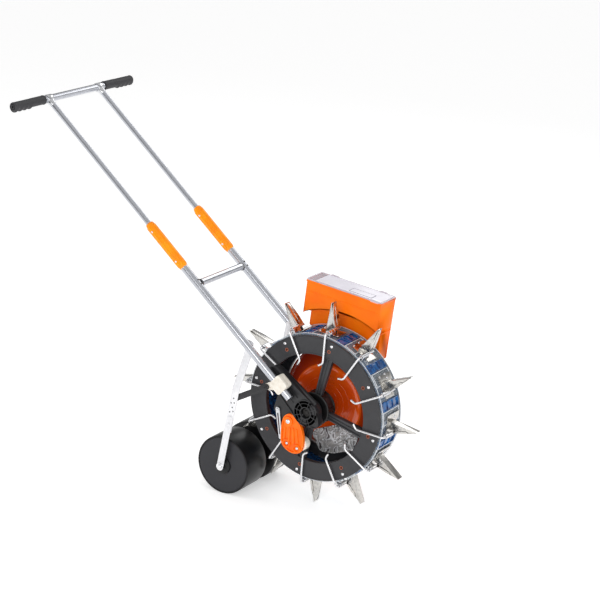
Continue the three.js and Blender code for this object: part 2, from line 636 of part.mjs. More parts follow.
function hopperForm(inset) {
  const half = HOPPER_LENGTH / 2 - inset;
  const farY = hopperFarY - inset;
  const lift = inset > 0 ? 5 : 0;
  const top = box(-half, half, HOPPER_NEAR_Y + inset, farY, -HOPPER_BOX_DEPTH + inset, lift);
  const recess = wheelClearance(RECESS_RADIUS + inset, FUNNEL_NEAR_Y + inset);
  const backX = -HOPPER_LENGTH / 2 + 10 + inset;
  const frontX = half - 1;
  const funnel = plate([
    [backX, -HOPPER_BOX_DEPTH + 20],
    [backX, -FUNNEL_BACK_DEPTH + inset * 0.5],
    [CHUTE_BACK + inset, CHUTE_TOP - (inset > 0 ? 5 : 0)],
    [CHUTE_FRONT - inset, CHUTE_TOP - (inset > 0 ? 5 : 0)],
    [CHUTE_FRONT - inset, CHUTE_TOP + 2],
    [frontX, -FUNNEL_FRONT_DEPTH + inset * 0.5],
    [frontX, -HOPPER_BOX_DEPTH + 20],
  ], FUNNEL_NEAR_Y + inset, farY);
  return top.subtract(recess).add(funnel);
}

function hopper() {
  const lugs = LUGS.map((x) => Manifold.hull([
    box(x - 2, x + 2, hopperFarY - 1, hopperFarY + 1, -16, -5),
    bar([x - 2, lidHingeY, 0], [x + 2, lidHingeY, 0], LID_BARREL_RADIUS, 16),
  ]));
  const half = HOPPER_LENGTH / 2;
  const pinHole = bar([-half, lidHingeY, 0], [half, lidHingeY, 0], LID_PIN_RADIUS + GAP, 16);
  const shell = hopperForm(0).subtract(hopperForm(HOPPER_WALL));
  return inHopperFrame(union(shell, ...lugs).subtract(pinHole));
}

function hopperLid() {
  const half = HOPPER_LENGTH / 2 + LID_OVERHANG;
  const top = GAP + LID_THICKNESS;
  const nearY = HOPPER_NEAR_Y - LID_OVERHANG;
  const sheet = box(-half, half, nearY, hopperFarY - 0.5, GAP, top);
  const tab = box(half - LID_TAB_WIDTH - 8, half - 8, nearY - 6, nearY + 2, GAP, top);
  const barrels = BARRELS.map((x) => union(
    bar([x - 9, lidHingeY, 0], [x + 9, lidHingeY, 0], LID_BARREL_RADIUS, 16),
    bar([x - 13.5, lidHingeY, 0], [x + 13.5, lidHingeY, 0], LID_PIN_RADIUS, 12),
    box(x - 9, x + 9, hopperFarY - 1, lidHingeY, GAP, top),
  ));
  return inHopperFrame(union(sheet, tab, ...barrels));
}

// ---------------------------------------------------------------- press drum
// a point on the drum arm's centre line, from the drum axle (0) to the handle tube (1)
function onDrumArm(share) {
  const [topX, topZ] = onHandle(DRUM_ARM_AT);
  return [-DRUM_BACK + (topX + DRUM_BACK) * share, drumZ + (topZ - drumZ) * share];
}

// the arm stands outside the drum and cranks in to the inner side of the handle tube
function drumArm(side) {
  const half = DRUM_ARM_WIDTH / 2;
  const topY = tubeY - LOWER_TUBE_RADIUS - GAP - DRUM_ARM_THICKNESS;
  const at = (share, y) => disc(half, y, y + DRUM_ARM_THICKNESS, 20).translate(...spread(onDrumArm(share)));
  const lower = Manifold.hull([at(0, drumArmY), at(CRANK_LOW, drumArmY)]);
  const crank = Manifold.hull([at(CRANK_LOW, drumArmY), at(CRANK_HIGH, topY)]);
  const upper = Manifold.hull([at(CRANK_HIGH, topY), at(1, topY)]);
  const axleHole = disc(DRUM_AXLE_RADIUS + GAP, 0, 2 * tubeY, 20).translate(-DRUM_BACK, 0, drumZ);
  const body = union(lower, crank, upper).subtract(axleHole);
  return side < 0 ? mirrorY(body) : body;
}

function drumAxle() {
  const armOuter = drumArmY + DRUM_ARM_THICKNESS;
  const shaft = disc(DRUM_AXLE_RADIUS, -armOuter - 5, armOuter + 5, 20);
  const head = disc(DRUM_HEAD_RADIUS, armOuter + GAP, armOuter + NUT_DEPTH, 6);
  return union(shaft, head, mirrorY(head)).translate(-DRUM_BACK, 0, drumZ);
}

function drumHalf(side) {
  const half = DRUM_LENGTH / 2;
  const waist = DRUM_WAIST / 2;
  const wallRadius = DRUM_RADIUS - DRUM_WALL;
  const bossRadius = DRUM_CORE_RADIUS + GAP + DRUM_WALL;
  const hollow = ring(wallRadius, bossRadius, waist + DRUM_WALL, half - DRUM_RECESS - DRUM_WALL, 24);
  const recess = ring(wallRadius, bossRadius, half - DRUM_RECESS, half + 1, 32);
  const drain = disc(3, waist - 1, waist + DRUM_WALL + 1, 6).translate(0, 0, wallRadius - 8);
  const bore = disc(DRUM_CORE_RADIUS + GAP, 0, half + 1, 24);
  const body = disc(DRUM_RADIUS, waist, half, 48).subtract(union(hollow, recess, drain, bore));
  return (side < 0 ? mirrorY(body) : body).translate(-DRUM_BACK, 0, drumZ);
}

// the core joins the two halves and turns on the drum axle
function drumCore() {
  const half = DRUM_LENGTH / 2 + DRUM_RECESS;
  return ring(DRUM_CORE_RADIUS, DRUM_AXLE_RADIUS + GAP, -half, half, 24).translate(-DRUM_BACK, 0, drumZ);
}

function drumStrut() {
  const outer = drumArmY - GAP;
  const inner = outer - STRUT_THICKNESS;
  const half = STRUT_HEIGHT / 2;
  const [frontX, frontZ] = onHandle(...STRUT_START);
  const [backX, backZ] = onDrumArm(STRUT_AT);
  const strip = band([[frontX, frontZ, half], [backX, backZ, half]], inner, outer, 16);
  const spacer = disc(half, armOuterY + GAP, inner + 1, 16).translate(frontX, 0, frontZ);
  return mirrorY(strip.add(spacer));
}

// ---------------------------------------------------------------- assembly
const machine = new THREE.Group();

const wheel = new THREE.Group();
machine.add(wheel);
part('near_side_plate', nearSidePlate(), materials.blackPlastic, wheel);
part('far_side_ring', farSideRing(), materials.blackPlastic, wheel);
part('clear_rim_band', clearRimBand(), materials.clearPlastic, wheel);
part('seed_channel_ring', seedChannelRing(), materials.bluePlastic, wheel);
part('hub_bearing_near', hubBearing(hubNearY + 2), materials.steel, wheel);
part('hub_bearing_far', hubBearing(hubFarY - 2 - BEARING_WIDTH), materials.steel, wheel);

const fixedJawBody = fixedJaw();
const movableJawBody = movableJaw();
turns(MOUTHS).forEach((turn, k) => {
  const station = new THREE.Group();
  station.rotation.y = turn + MOUTH_PHASE;
  wheel.add(station);
  const number = String(k + 1).padStart(2, '0');
  part(`duckbill_fixed_jaw_${number}`, fixedJawBody, materials.steel, station);
  part(`duckbill_lever_jaw_${number}`, movableJawBody, materials.steel, station);
});

const frame = new THREE.Group();
machine.add(frame);
part('axle', axle(), materials.steel, frame);
part('near_side_arm', nearSideArm(), materials.blackPlastic, frame);
part('far_side_arm', sideArm(), materials.blackPlastic, frame);
for (const [label, side] of [['near', -1], ['far', 1]]) {
  const lowerTube = handleTube(side, TUBE_START, SPLICE_AT - 1, LOWER_TUBE_RADIUS);
  part(`tube_clamp_${label}`, tubeClamp(side), materials.creamPlastic, frame);
  part(`lower_tube_${label}`, lowerTube, materials.tubeMetal, frame);
  part(`splice_sleeve_${label}`, spliceSleeve(side), materials.orangePlastic, frame);
  part(
    `upper_tube_${label}`,
    handleTube(side, SPLICE_AT + 1, HANDLE_BAR_AT - BAR_RADIUS - GAP, UPPER_TUBE_RADIUS),
    materials.tubeMetal,
    frame,
  );
  part(`grip_${label}`, grip(side), materials.gripRubber, frame);
  part(`drum_arm_${label}`, drumArm(side), materials.whiteSteel, frame);
}
part('cross_tube', crossTube(), materials.tubeMetal, frame);
part('handle_bar', handleBar(), materials.tubeMetal, frame);
part('opener_plate', openerPlate(), materials.orangePlastic, frame);
part('opener_cam', openerCam(), materials.creamPlastic, frame);
part('opener_strap', openerStrap(), materials.steel, frame);
part('seed_dish', seedDish(), materials.dishPlastic, frame);
part('seed_window', seedWindow(), materials.clearPlastic, frame);
part('hopper', hopper(), materials.orangePlastic, frame);
part('seed_inlet_cover', seedInletCover(), materials.orangePlastic, frame);
part('hopper_lid', hopperLid(), materials.clearPlastic, machine);
part('drum_axle', drumAxle(), materials.steel, frame);
part('drum_strut', drumStrut(), materials.strutBlack, frame);

const drum = new THREE.Group();
machine.add(drum);
part('drum_core', drumCore(), materials.drumBlack, drum);
part('drum_half_near', drumHalf(-1), materials.drumBlack, drum);
part('drum_half_far', drumHalf(1), materials.drumBlack, drum);

// the machine stands on z = 0 with its bounding box centred on the origin
const bounds = new THREE.Box3().setFromObject(machine, true);
const middle = bounds.getCenter(new THREE.Vector3());
machine.position.set(-middle.x, -middle.y, -bounds.min.z);

export default machine;
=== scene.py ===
"""Push seeder: the looks model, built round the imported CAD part."""
import math

import bmesh
import bpy
from mathutils import Matrix, Vector


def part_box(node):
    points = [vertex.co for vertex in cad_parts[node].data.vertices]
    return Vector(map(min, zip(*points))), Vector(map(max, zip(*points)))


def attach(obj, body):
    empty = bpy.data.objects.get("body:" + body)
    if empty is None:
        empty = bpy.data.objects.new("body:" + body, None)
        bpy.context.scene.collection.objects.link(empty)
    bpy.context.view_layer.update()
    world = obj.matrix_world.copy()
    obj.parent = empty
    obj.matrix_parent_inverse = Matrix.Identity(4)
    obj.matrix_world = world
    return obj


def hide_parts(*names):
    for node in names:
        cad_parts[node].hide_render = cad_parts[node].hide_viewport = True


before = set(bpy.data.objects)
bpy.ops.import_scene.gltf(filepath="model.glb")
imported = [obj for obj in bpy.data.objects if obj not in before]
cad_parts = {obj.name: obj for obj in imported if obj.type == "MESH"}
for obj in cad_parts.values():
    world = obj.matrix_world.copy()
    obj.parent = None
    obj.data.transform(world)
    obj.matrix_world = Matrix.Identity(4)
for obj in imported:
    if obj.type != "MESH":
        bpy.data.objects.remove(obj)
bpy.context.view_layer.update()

MM = 0.001
axle_low, axle_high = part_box("axle")
CENTRE = (axle_low + axle_high) / 2          # the wheel's axis, in metres

# sizes in millimetres, measured from the wheel's centre as in the CAD
MOUTH_PHASE = math.radians(3.4)
SPOKE_PHASE = math.radians(14.4)
RIM, BORE, TIP = 200, 150, 285
HALF_WIDTH = 54.5
HANDLE = math.radians(40.5)
TUBE_Y = 109
HINGE_X, HINGE_R = 17.4, 216
drum_low, drum_high = (Vector(corner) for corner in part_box("drum_axle"))
drum_middle = ((drum_low + drum_high) / 2 - CENTRE) * 1000
DRUM_X, DRUM_Z = drum_middle.x, drum_middle.z
HOPPER_TILT = math.radians(6.3)
HOPPER_TOP = (24.5, 306)
BAND_TOP, BAND_HALF = 201.1, 47.2            # the clear rim band's radius and half width
STEP = 2 * math.pi / 12                      # from one mouth to the next
SIDES = (("near", -1), ("far", 1))


# ---------------------------------------------------------------- materials
def rgb(red, green, blue):
    """A linear colour from 0-255 screen values."""
    out = []
    for value in (red, green, blue):
        c = value / 255
        out.append(c / 12.92 if c <= 0.04045 else ((c + 0.055) / 1.055) ** 2.4)
    return (*out, 1.0)


def put(node, socket, value):
    node.inputs[socket].default_value = value


def material(name, colour, rough=0.4, metal=0.0, vary=0.08, scale=60, rough_vary=0.06,
             bump=0.0, bump_scale=900, coat=0.0, alpha=1.0, transmission=0.0, subsurface=0.0,
             second=None, wear=0.0, specular=0.5):
    """A procedural finish: colour mottle, roughness smudges, fine bump and pale worn edges."""
    mat = bpy.data.materials.new(name)
    mat.use_nodes = True
    nodes, links = mat.node_tree.nodes, mat.node_tree.links
    shader = nodes["Principled BSDF"]
    put(shader, "Metallic", metal)
    put(shader, "IOR", 1.46)
    put(shader, "Specular IOR Level", specular)
    put(shader, "Coat Weight", coat)
    put(shader, "Coat Roughness", 0.08)
    put(shader, "Transmission Weight", transmission)
    put(shader, "Alpha", alpha)
    if subsurface:
        put(shader, "Subsurface Weight", subsurface)
        put(shader, "Subsurface Radius", (1.0, 0.35, 0.1))
        put(shader, "Subsurface Scale", 0.004)
    coords = nodes.new("ShaderNodeTexCoord")
    mottle = nodes.new("ShaderNodeTexNoise")
    put(mottle, "Scale", scale)
    put(mottle, "Detail", 5)
    links.new(coords.outputs["Object"], mottle.inputs["Vector"])
    ramp = nodes.new("ShaderNodeValToRGB")
    low, high = ramp.color_ramp.elements
    low.position, high.position = 0.32, 0.68
    dark = second or tuple(c * (1 - vary) for c in colour[:3]) + (1.0,)
    light = tuple(min(1.0, c * (1 + vary)) for c in colour[:3]) + (1.0,)
    low.color, high.color = dark, light
    links.new(mottle.outputs["Fac"], ramp.inputs["Fac"])
    colour_out = ramp.outputs["Color"]
    if wear:
        geometry = nodes.new("ShaderNodeNewGeometry")
        edge = nodes.new("ShaderNodeMapRange")
        put(edge, "From Min", 0.53)
        put(edge, "From Max", 0.62)
        put(edge, "To Max", wear)
        links.new(geometry.outputs["Pointiness"], edge.inputs["Value"])
        mix = nodes.new("ShaderNodeMix")
        mix.data_type = "RGBA"
        links.new(edge.outputs["Result"], mix.inputs["Factor"])
        links.new(colour_out, mix.inputs["A"])
        put(mix, "B", tuple(min(1.0, c * 1.9 + 0.04) for c in colour[:3]) + (1.0,))
        colour_out = mix.outputs["Result"]
    links.new(colour_out, shader.inputs["Base Color"])
    smudge = nodes.new("ShaderNodeMapRange")
    put(smudge, "To Min", max(0.02, rough - rough_vary))
    put(smudge, "To Max", rough + rough_vary)
    grime = nodes.new("ShaderNodeTexNoise")
    put(grime, "Scale", scale * 0.45)
    put(grime, "Detail", 3)
    links.new(coords.outputs["Object"], grime.inputs["Vector"])
    links.new(grime.outputs["Fac"], smudge.inputs["Value"])
    links.new(smudge.outputs["Result"], shader.inputs["Roughness"])
    if bump:
        grain = nodes.new("ShaderNodeTexNoise")
        put(grain, "Scale", bump_scale)
        put(grain, "Detail", 2)
        links.new(coords.outputs["Object"], grain.inputs["Vector"])
        relief = nodes.new("ShaderNodeBump")
        put(relief, "Strength", bump)
        put(relief, "Distance", 0.0006)
        links.new(grain.outputs["Fac"], relief.inputs["Height"])
        links.new(relief.outputs["Normal"], shader.inputs["Normal"])
    return mat


BLACK = material("black_moulded", rgb(46, 46, 49), 0.42, bump=0.12, bump_scale=1600, wear=0.25)
ARM_BLACK = material("arm_moulded", rgb(30, 30, 32), 0.36, bump=0.15, bump_scale=1300, wear=0.3)
HUB_BLACK = material("hub_moulded", rgb(13, 13, 14), 0.35, bump=0.1, wear=0.2)
BLUE = material("blue_clear", rgb(22, 96, 158), 0.14, vary=0.3, scale=70, bump=0.25, bump_scale=140,
                coat=0.5, transmission=0.08, second=rgb(8, 36, 92))
CLEAR = material("clear_rim", rgb(214, 226, 236), 0.05, vary=0.03, coat=0.7, alpha=0.16)
# near-white and nearly opaque: a painted highlight for the clear rim's edges
RIM_EDGE_HIGHLIGHT = material("rim_edge_painted_highlight", rgb(236, 240, 246), 0.18, vary=0.04, coat=0.4, alpha=0.85)
LID = material("frosted_lid", rgb(236, 230, 240), 0.2, vary=0.05, scale=30, alpha=0.42, coat=0.4)
ORANGE = material("orange_gloss", rgb(255, 122, 0), 0.42, vary=0.05, scale=14, bump=0.05,
                  second=rgb(255, 108, 0), specular=0.22)
SLEEVE = material("sleeve_amber", rgb(255, 156, 0), 0.36, vary=0.05, scale=40,
                  second=rgb(252, 138, 0), specular=0.3)
OPENER = material("opener_orange", rgb(255, 118, 6), 0.36, vary=0.06, scale=50,
                  second=rgb(246, 100, 0), specular=0.3)
PLUG = material("plug_red", rgb(186, 92, 54), 0.4, bump=0.1)
CREAM = material("cream_moulded", rgb(232, 227, 217), 0.5, vary=0.04, scale=90, bump=0.1,
                 second=rgb(222, 214, 200))
STEEL = material("bright_steel", rgb(206, 207, 210), 0.19, metal=1, vary=0.1, scale=120,
                 rough_vary=0.1, bump=0.08, bump_scale=500)
JAW_STEEL = material("jaw_steel", rgb(196, 194, 190), 0.2, metal=1, vary=0.14, scale=120,
                     rough_vary=0.08, bump=0.06, bump_scale=240)
AXLE_DARK = material("axle_dark", rgb(40, 38, 37), 0.5, metal=0.5, vary=0.3, scale=200, bump=0.2)
ROLLER = material("roller_zinc", rgb(150, 148, 146), 0.26, metal=1, vary=0.5, scale=90,
                  bump=0.2, bump_scale=500, second=rgb(30, 29, 29))
DARK_STEEL = material("dark_steel", rgb(120, 118, 116), 0.32, metal=1, vary=0.3, scale=160,
                      bump=0.2, bump_scale=500)
WIRE = material("wire_zinc", rgb(226, 226, 228), 0.24, metal=0.9, vary=0.06, scale=160,
                rough_vary=0.08, bump=0.1, bump_scale=800)
SCREW = material("screw_zinc", rgb(228, 228, 230), 0.2, metal=1, vary=0.08, scale=300, bump=0.1)
TUBE = material("tube_bright", rgb(186, 188, 194), 0.24, metal=1, vary=0.05, scale=40,
                rough_vary=0.05)
WHITE = material("pale_zinc", rgb(226, 226, 229), 0.36, metal=0.35, vary=0.05, scale=150,
                 rough_vary=0.1, bump=0.12, bump_scale=700, wear=0.2)
DRUM_SIDE = material("drum_gloss", rgb(15, 15, 17), 0.34, vary=0.25, scale=26, rough_vary=0.1,
                     specular=0.35, bump=0.12, bump_scale=60)
DRUM_FACE = material("drum_face", rgb(33, 33, 38), 0.46, vary=0.05, scale=30, bump=0.12,
                     bump_scale=900)
RUBBER = material("grip_rubber_soft", rgb(50, 50, 53), 0.6, vary=0.1, scale=200, bump=0.4,
                  bump_scale=1500)
# the strut's black paint; also the dark of the drum arms' hole dimples, where it is painted shade
STRUT_PAINT_AND_HOLE_SHADE = material("strut_paint_and_hole_shade", rgb(34, 34, 36), 0.5, vary=0.25, scale=160, bump=0.3,
                 bump_scale=500, wear=0.5)


def window_material():
    """Clear moulding gone milky in swirls, with painted highlights, near-white glints, along them."""
    mat = material("clear_window", rgb(190, 192, 196), 0.14, vary=0.2, scale=70, bump=0.7,
                   bump_scale=110, coat=0.8, alpha=0.8)
    nodes, links = mat.node_tree.nodes, mat.node_tree.links
    coords = nodes.new("ShaderNodeTexCoord")
    swirl = nodes.new("ShaderNodeTexNoise")
    put(swirl, "Scale", 24)
    put(swirl, "Detail", 2)
    put(swirl, "Distortion", 2.2)
    links.new(coords.outputs["Object"], swirl.inputs["Vector"])
    swirls_and_painted_glints = nodes.new("ShaderNodeValToRGB")
    stops = swirls_and_painted_glints.color_ramp.elements
    stops[0].position, stops[0].color = 0.30, rgb(70, 68, 68)
    stops[1].position, stops[1].color = 0.74, rgb(134, 132, 132)
    # the near-white stops at 0.46 and 0.63 are painted highlights: glints along the swirls
    for place, colour in ((0.40, (112, 110, 112)), (0.46, (228, 230, 234)), (0.50, (136, 136, 138)),
                          (0.58, (160, 158, 156)), (0.63, (232, 234, 238))):
        stops.new(place).color = rgb(*colour)
    links.new(swirl.outputs["Fac"], swirls_and_painted_glints.inputs["Fac"])
    links.new(swirls_and_painted_glints.outputs["Color"], nodes["Principled BSDF"].inputs["Base Color"])
    return mat


WINDOW = window_material()


def dish_material():
    """Translucent orange-brown with painted light and shade: brighter on the raised disc than down the
    slope, a painted highlight at the disc's edge, painted shade down the slope, and a painted glow.
    """
    mat = material("dish_amber", rgb(255, 122, 34), 0.16, vary=0.1, scale=9, coat=0.5,
                   subsurface=0.2, bump=0.05, bump_scale=60, second=rgb(240, 96, 18))
    nodes, links = mat.node_tree.nodes, mat.node_tree.links
    coords = nodes.new("ShaderNodeTexCoord")
    flatten = nodes.new("ShaderNodeVectorMath")
    flatten.operation = "MULTIPLY"
    put(flatten, 1, (1, 0, 1))
    length = nodes.new("ShaderNodeVectorMath")
    length.operation = "LENGTH"
    links.new(coords.outputs["Object"], flatten.inputs[0])
    links.new(flatten.outputs["Vector"], length.inputs[0])
    # painted light and shade by distance from the axle: dimmer near the hub, a painted highlight at the
    # disc's edge (0.685), painted shade down the outer slope
    shade = nodes.new("ShaderNodeValToRGB")
    stops = shade.color_ramp.elements
    stops[0].position, stops[0].color = 0.0, (0.26, 0.14, 0.1, 1)
    stops[1].position, stops[1].color = 1.0, (0.12, 0.05, 0.04, 1)
    for place, value in ((0.45, 0.30), (0.62, 0.38), (0.685, 0.50), (0.70, 0.22), (0.8, 0.16)):
        stop = stops.new(place)
        stop.color = (value, value ** 1.45, value ** 1.7, 1)
    scale = nodes.new("ShaderNodeMath")
    scale.operation = "DIVIDE"
    put(scale, 1, BORE * MM)
    links.new(length.outputs["Value"], scale.inputs[0])
    links.new(scale.outputs["Value"], shade.inputs["Fac"])
    mix = nodes.new("ShaderNodeMix")
    mix.data_type, mix.blend_type = "RGBA", "MULTIPLY"
    put(mix, "Factor", 1.0)
    shader = nodes["Principled BSDF"]
    old = shader.inputs["Base Color"].links[0].from_socket
    links.new(old, mix.inputs["A"])
    links.new(shade.outputs["Color"], mix.inputs["B"])
    links.new(mix.outputs["Result"], shader.inputs["Base Color"])
    # the shaded colour also feeds the emission, so the dish glows: painted light standing in for light
    # shining through the amber plastic
    links.new(mix.outputs["Result"], shader.inputs["Emission Color"])
    put(shader, "Emission Strength", 0.5)
    return mat


DISH = dish_material()


# ---------------------------------------------------------------- mesh helpers, in millimetres
def circle(x, z, radius, count):
    step = 2 * math.pi / count
    return [(x + radius * math.cos(step * i), z + radius * math.sin(step * i)) for i in range(count)]


def rect(a0, a1, b0, b1):
    """The four corners of a rectangle, as an outline or as a lathe's profile."""
    return [(a0, b0), (a1, b0), (a1, b1), (a0, b1)]


def hull(circles, count=48):
    """The rubber-band outline round circles given as (x, z, radius)."""
    points = sorted({(round(x, 4), round(z, 4)) for c in circles for x, z in circle(*c, count)})

    def half(run):
        out = []
        for p in run:
            while len(out) > 1 and ((out[-1][0] - out[-2][0]) * (p[1] - out[-2][1])
                                    - (out[-1][1] - out[-2][1]) * (p[0] - out[-2][0])) <= 0:
                out.pop()
            out.append(p)
        return out[:-1]

    return half(points) + half(points[::-1])


def rounded(points, radius, steps=5):
    """A polygon with its corners rounded."""
    out = []
    count = len(points)
    for i, corner in enumerate(points):
        c = Vector(corner)
        before, after = Vector(points[i - 1]) - c, Vector(points[(i + 1) % count]) - c
        reach = min(radius, before.length / 2.05, after.length / 2.05)
        a, b = c + before.normalized() * reach, c + after.normalized() * reach
        for k in range(steps + 1):
            t = k / steps
            out.append(tuple(a * (1 - t) ** 2 + c * 2 * t * (1 - t) + b * t * t))
    return out


def offset(points, distance):
    """A counter-clockwise convex outline moved inward."""
    out = []
    count = len(points)
    for i in range(count):
        p, q, r = Vector(points[i - 1]), Vector(points[i]), Vector(points[(i + 1) % count])
        a, b = (q - p).normalized(), (r - q).normalized()
        normal = Vector((-(a.y + b.y), a.x + b.x))
        if normal.length > 1e-6:
            normal.normalize()
        out.append(tuple(q + normal * distance))
    return out


def prism(bm, outline, y0, y1, holes=(), m=None):
    """An outline of (x, z) points, with holes, as thick as y0 to y1."""
    edges, faces, verts = [], [], []
    for loop in [outline, *holes]:
        ring = [bm.verts.new((x, y0, z)) for x, z in loop]
        verts += ring
        if holes:
            edges += [bm.edges.new((ring[i], ring[(i + 1) % len(ring)])) for i in range(len(ring))]
        else:
            faces.append(bm.faces.new(ring))
    if holes:
        filled = bmesh.ops.triangle_fill(bm, use_beauty=True, edges=edges)
        faces = [g for g in filled["geom"] if isinstance(g, bmesh.types.BMFace)]
    grown = bmesh.ops.extrude_face_region(bm, geom=faces, use_keep_orig=True)
    top = [g for g in grown["geom"] if isinstance(g, bmesh.types.BMVert)]
    bmesh.ops.translate(bm, verts=top, vec=(0, y1 - y0, 0))
    if m is not None:
        bmesh.ops.transform(bm, matrix=m, verts=verts + top)


def loft(bm, rings, loop=False, m=None):
    """Skins matching rings of points, closed into a loop or capped at both ends."""
    rows = [[bm.verts.new(m @ Vector(v) if m is not None else v) for v in ring] for ring in rings]
    count = len(rows[0])
    pairs = list(zip(rows, rows[1:]))
    if loop:
        pairs.append((rows[-1], rows[0]))
    for a, b in pairs:
        for i in range(count):
            j = (i + 1) % count
            bm.faces.new((a[i], a[j], b[j], b[i]))
    if not loop:
        bm.faces.new(rows[0][::-1])
        bm.faces.new(rows[-1])


def lathe(bm, profile, steps=64, m=None):
    """Turns a closed profile of (radius, y) points round the Y axis."""
    rings = []
    for i in range(steps):
        a = 2 * math.pi * i / steps
        rings.append([(r * math.sin(a), y, r * math.cos(a)) for r, y in profile])
    loft(bm, rings, loop=True, m=m)


def turned(bm, profile, steps=32, m=None):
    """A solid of revolution round Y from an open profile of (radius, y) points."""
    rings = []
    for r, y in profile:
        rings.append([(r * math.sin(2 * math.pi * i / steps), y, r * math.cos(2 * math.pi * i / steps))
                      for i in range(steps)])
    loft(bm, rings, m=m)


def bent(points, radius, steps):
    """A path of 3-D points with its inner corners rounded."""
    path = [Vector(p) for p in points]
    out = [path[0]]
    for before, corner, after in zip(path, path[1:], path[2:]):
        u, v = before - corner, after - corner
        reach = min(radius, u.length / 2.1, v.length / 2.1)
        a, b = corner + u.normalized() * reach, corner + v.normalized() * reach
        for k in range(steps + 1):
            t = k / steps
            out.append(a * (1 - t) ** 2 + corner * 2 * t * (1 - t) + b * t * t)
    out.append(path[-1])
    return out


def sweep(bm, path, radius, sides, dome=True):
    """A round bar along a path, with eased ends."""
    path = [Vector(p) for p in path]
    radii = [radius] * len(path)
    if dome:
        first, last = (path[1] - path[0]).normalized(), (path[-1] - path[-2]).normalized()
        ease = radius * 0.3
        path = [path[0], path[0] + first * ease] + path[1:-1] + [path[-1] - last * ease, path[-1]]
        radii = [radius * 0.7] + [radius] * (len(path) - 2) + [radius * 0.7]
    side = None
    rings = []
    for i, p in enumerate(path):
        ahead = path[min(i + 1, len(path) - 1)] - path[max(i - 1, 0)]
        ahead.normalize()
        if side is None:
            pick = Vector((0, 0, 1)) if abs(ahead.z) < 0.8 else Vector((1, 0, 0))
            side = ahead.cross(pick).normalized()
        else:
            side = (side - ahead * side.dot(ahead)).normalized()
        up = ahead.cross(side)
        rings.append([p + (side * math.cos(2 * math.pi * k / sides)
                           + up * math.sin(2 * math.pi * k / sides)) * radii[i]
                      for k in range(sides)])
    loft(bm, rings)


def block(bm, x0, x1, y0, y1, z0, z1, m=None):
    prism(bm, rect(x0, x1, z0, z1), y0, y1, m=m)


def screw_head(bm, radius, height, m, sides=20):
    """A pan head standing up +Y from y = 0, with a hexagon socket."""
    profile = [(radius * 0.96, -0.4), (radius, 0), (radius, height * 0.35),
               (radius * 0.86, height * 0.8), (radius * 0.6, height), (radius * 0.42, height),
               (radius * 0.38, height * 0.3)]
    turned(bm, profile, sides, m=m)


def bolt_head(bm, radius, height, m):
    """A washer and a hexagon head standing up +Y from y = 0."""
    washer = radius * 1.5
    turned(bm, [(washer, -0.3), (washer, 0.9), (radius * 1.42, 1.2), (radius, 1.2)], 28, m=m)
    turned(bm, [(radius, 1.0), (radius, height * 0.86), (radius * 0.86, height)], 6, m=m)


def at(x, y, z):
    return Matrix.Translation((x, y, z))


def spun(angle):
    return Matrix.Rotation(angle, 4, "Y")


FLIP = Matrix.Rotation(math.pi, 4, "X")      # turns a head to face the near side, -Y
FLAT = Matrix.Rotation(math.pi / 2, 4, "X")  # (x, y, z) to (x, -z, y): outlines lie on the rim
MIRROR = Matrix.Diagonal((1, -1, 1, 1))
REST = Matrix.Translation(CENTRE)


def mesh_of(name, bm, mat, bevel=0.0, segments=2, angle=32, smooth=38, mirror=False):
    """Turns the bmesh into finished mesh data in metres, with eased edges."""
    scale = Matrix.Scale(MM, 4)
    bmesh.ops.remove_doubles(bm, verts=bm.verts, dist=0.002)
    bmesh.ops.transform(bm, matrix=scale @ MIRROR if mirror else scale, verts=bm.verts)
    bmesh.ops.recalc_face_normals(bm, faces=bm.faces)
    mesh = bpy.data.meshes.new(name)
    bm.to_mesh(mesh)
    bm.free()
    if bevel:
        obj = bpy.data.objects.new(name + "_work", mesh)
        bpy.context.scene.collection.objects.link(obj)
        mod = obj.modifiers.new("ease", "BEVEL")
        mod.width = bevel * MM
        mod.segments = segments
        mod.limit_method = "ANGLE"
        mod.angle_limit = math.radians(angle)
        mod.use_clamp_overlap = True
        graph = bpy.context.evaluated_depsgraph_get()
        mesh = bpy.data.meshes.new_from_object(obj.evaluated_get(graph))
        bpy.data.objects.remove(obj)
        mesh.name = name
    mesh.shade_smooth()
    mesh.set_sharp_from_angle(angle=math.radians(smooth))
    mesh.materials.clear()
    mesh.materials.append(mat)
    return mesh


def piece(name, mesh, body, nodes=(), place=None):
    """Puts a mesh in the scene, rides it on its body and hides the CAD parts it stands for."""
    if place is not None:
        mesh = mesh.copy()
        mesh.transform(place)
    obj = bpy.data.objects.new(name, mesh)
    bpy.context.scene.collection.objects.link(obj)
    obj.matrix_world = REST
    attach(obj, body)
    if nodes:
        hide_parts(*nodes)


def part(name, bm, mat, body, slot, nodes=(), *finish, **options):
    """A piece made from its own bmesh; what follows the nodes goes to mesh_of."""
    piece(name, mesh_of(name, bm, mat, *finish, **options), body, nodes)


def on_handle(along, above=0.0):
    """The (x, z) of a point some way up the handle's line, and above it."""
    c, s = math.cos(HANDLE), math.sin(HANDLE)
    return (-c * along + s * above, s * along + c * above)


# ---------------------------------------------------------------- wheel
def side_plate_ring(bm):
    """The flat ring with a bead round its rim and a lip round its bore, near side."""
    f = -HALF_WIDTH
    lathe(bm, [(BORE, f + 13), (BORE + 2.4, f + 13), (BORE + 2.4, f + 6.5), (RIM - 6, f + 6.5),
               (RIM - 5.5, f + 7.2), (RIM, f + 7.2), (RIM, f + 0.4), (RIM - 0.6, f - 0.4),
               (RIM - 2.6, f - 0.4), (RIM - 3.4, f + 0.6), (BORE + 4.4, f + 0.6), (BORE + 3.6, f - 0.5),
               (BORE + 0.7, f - 0.5), (BORE, f + 0.3)], 160)


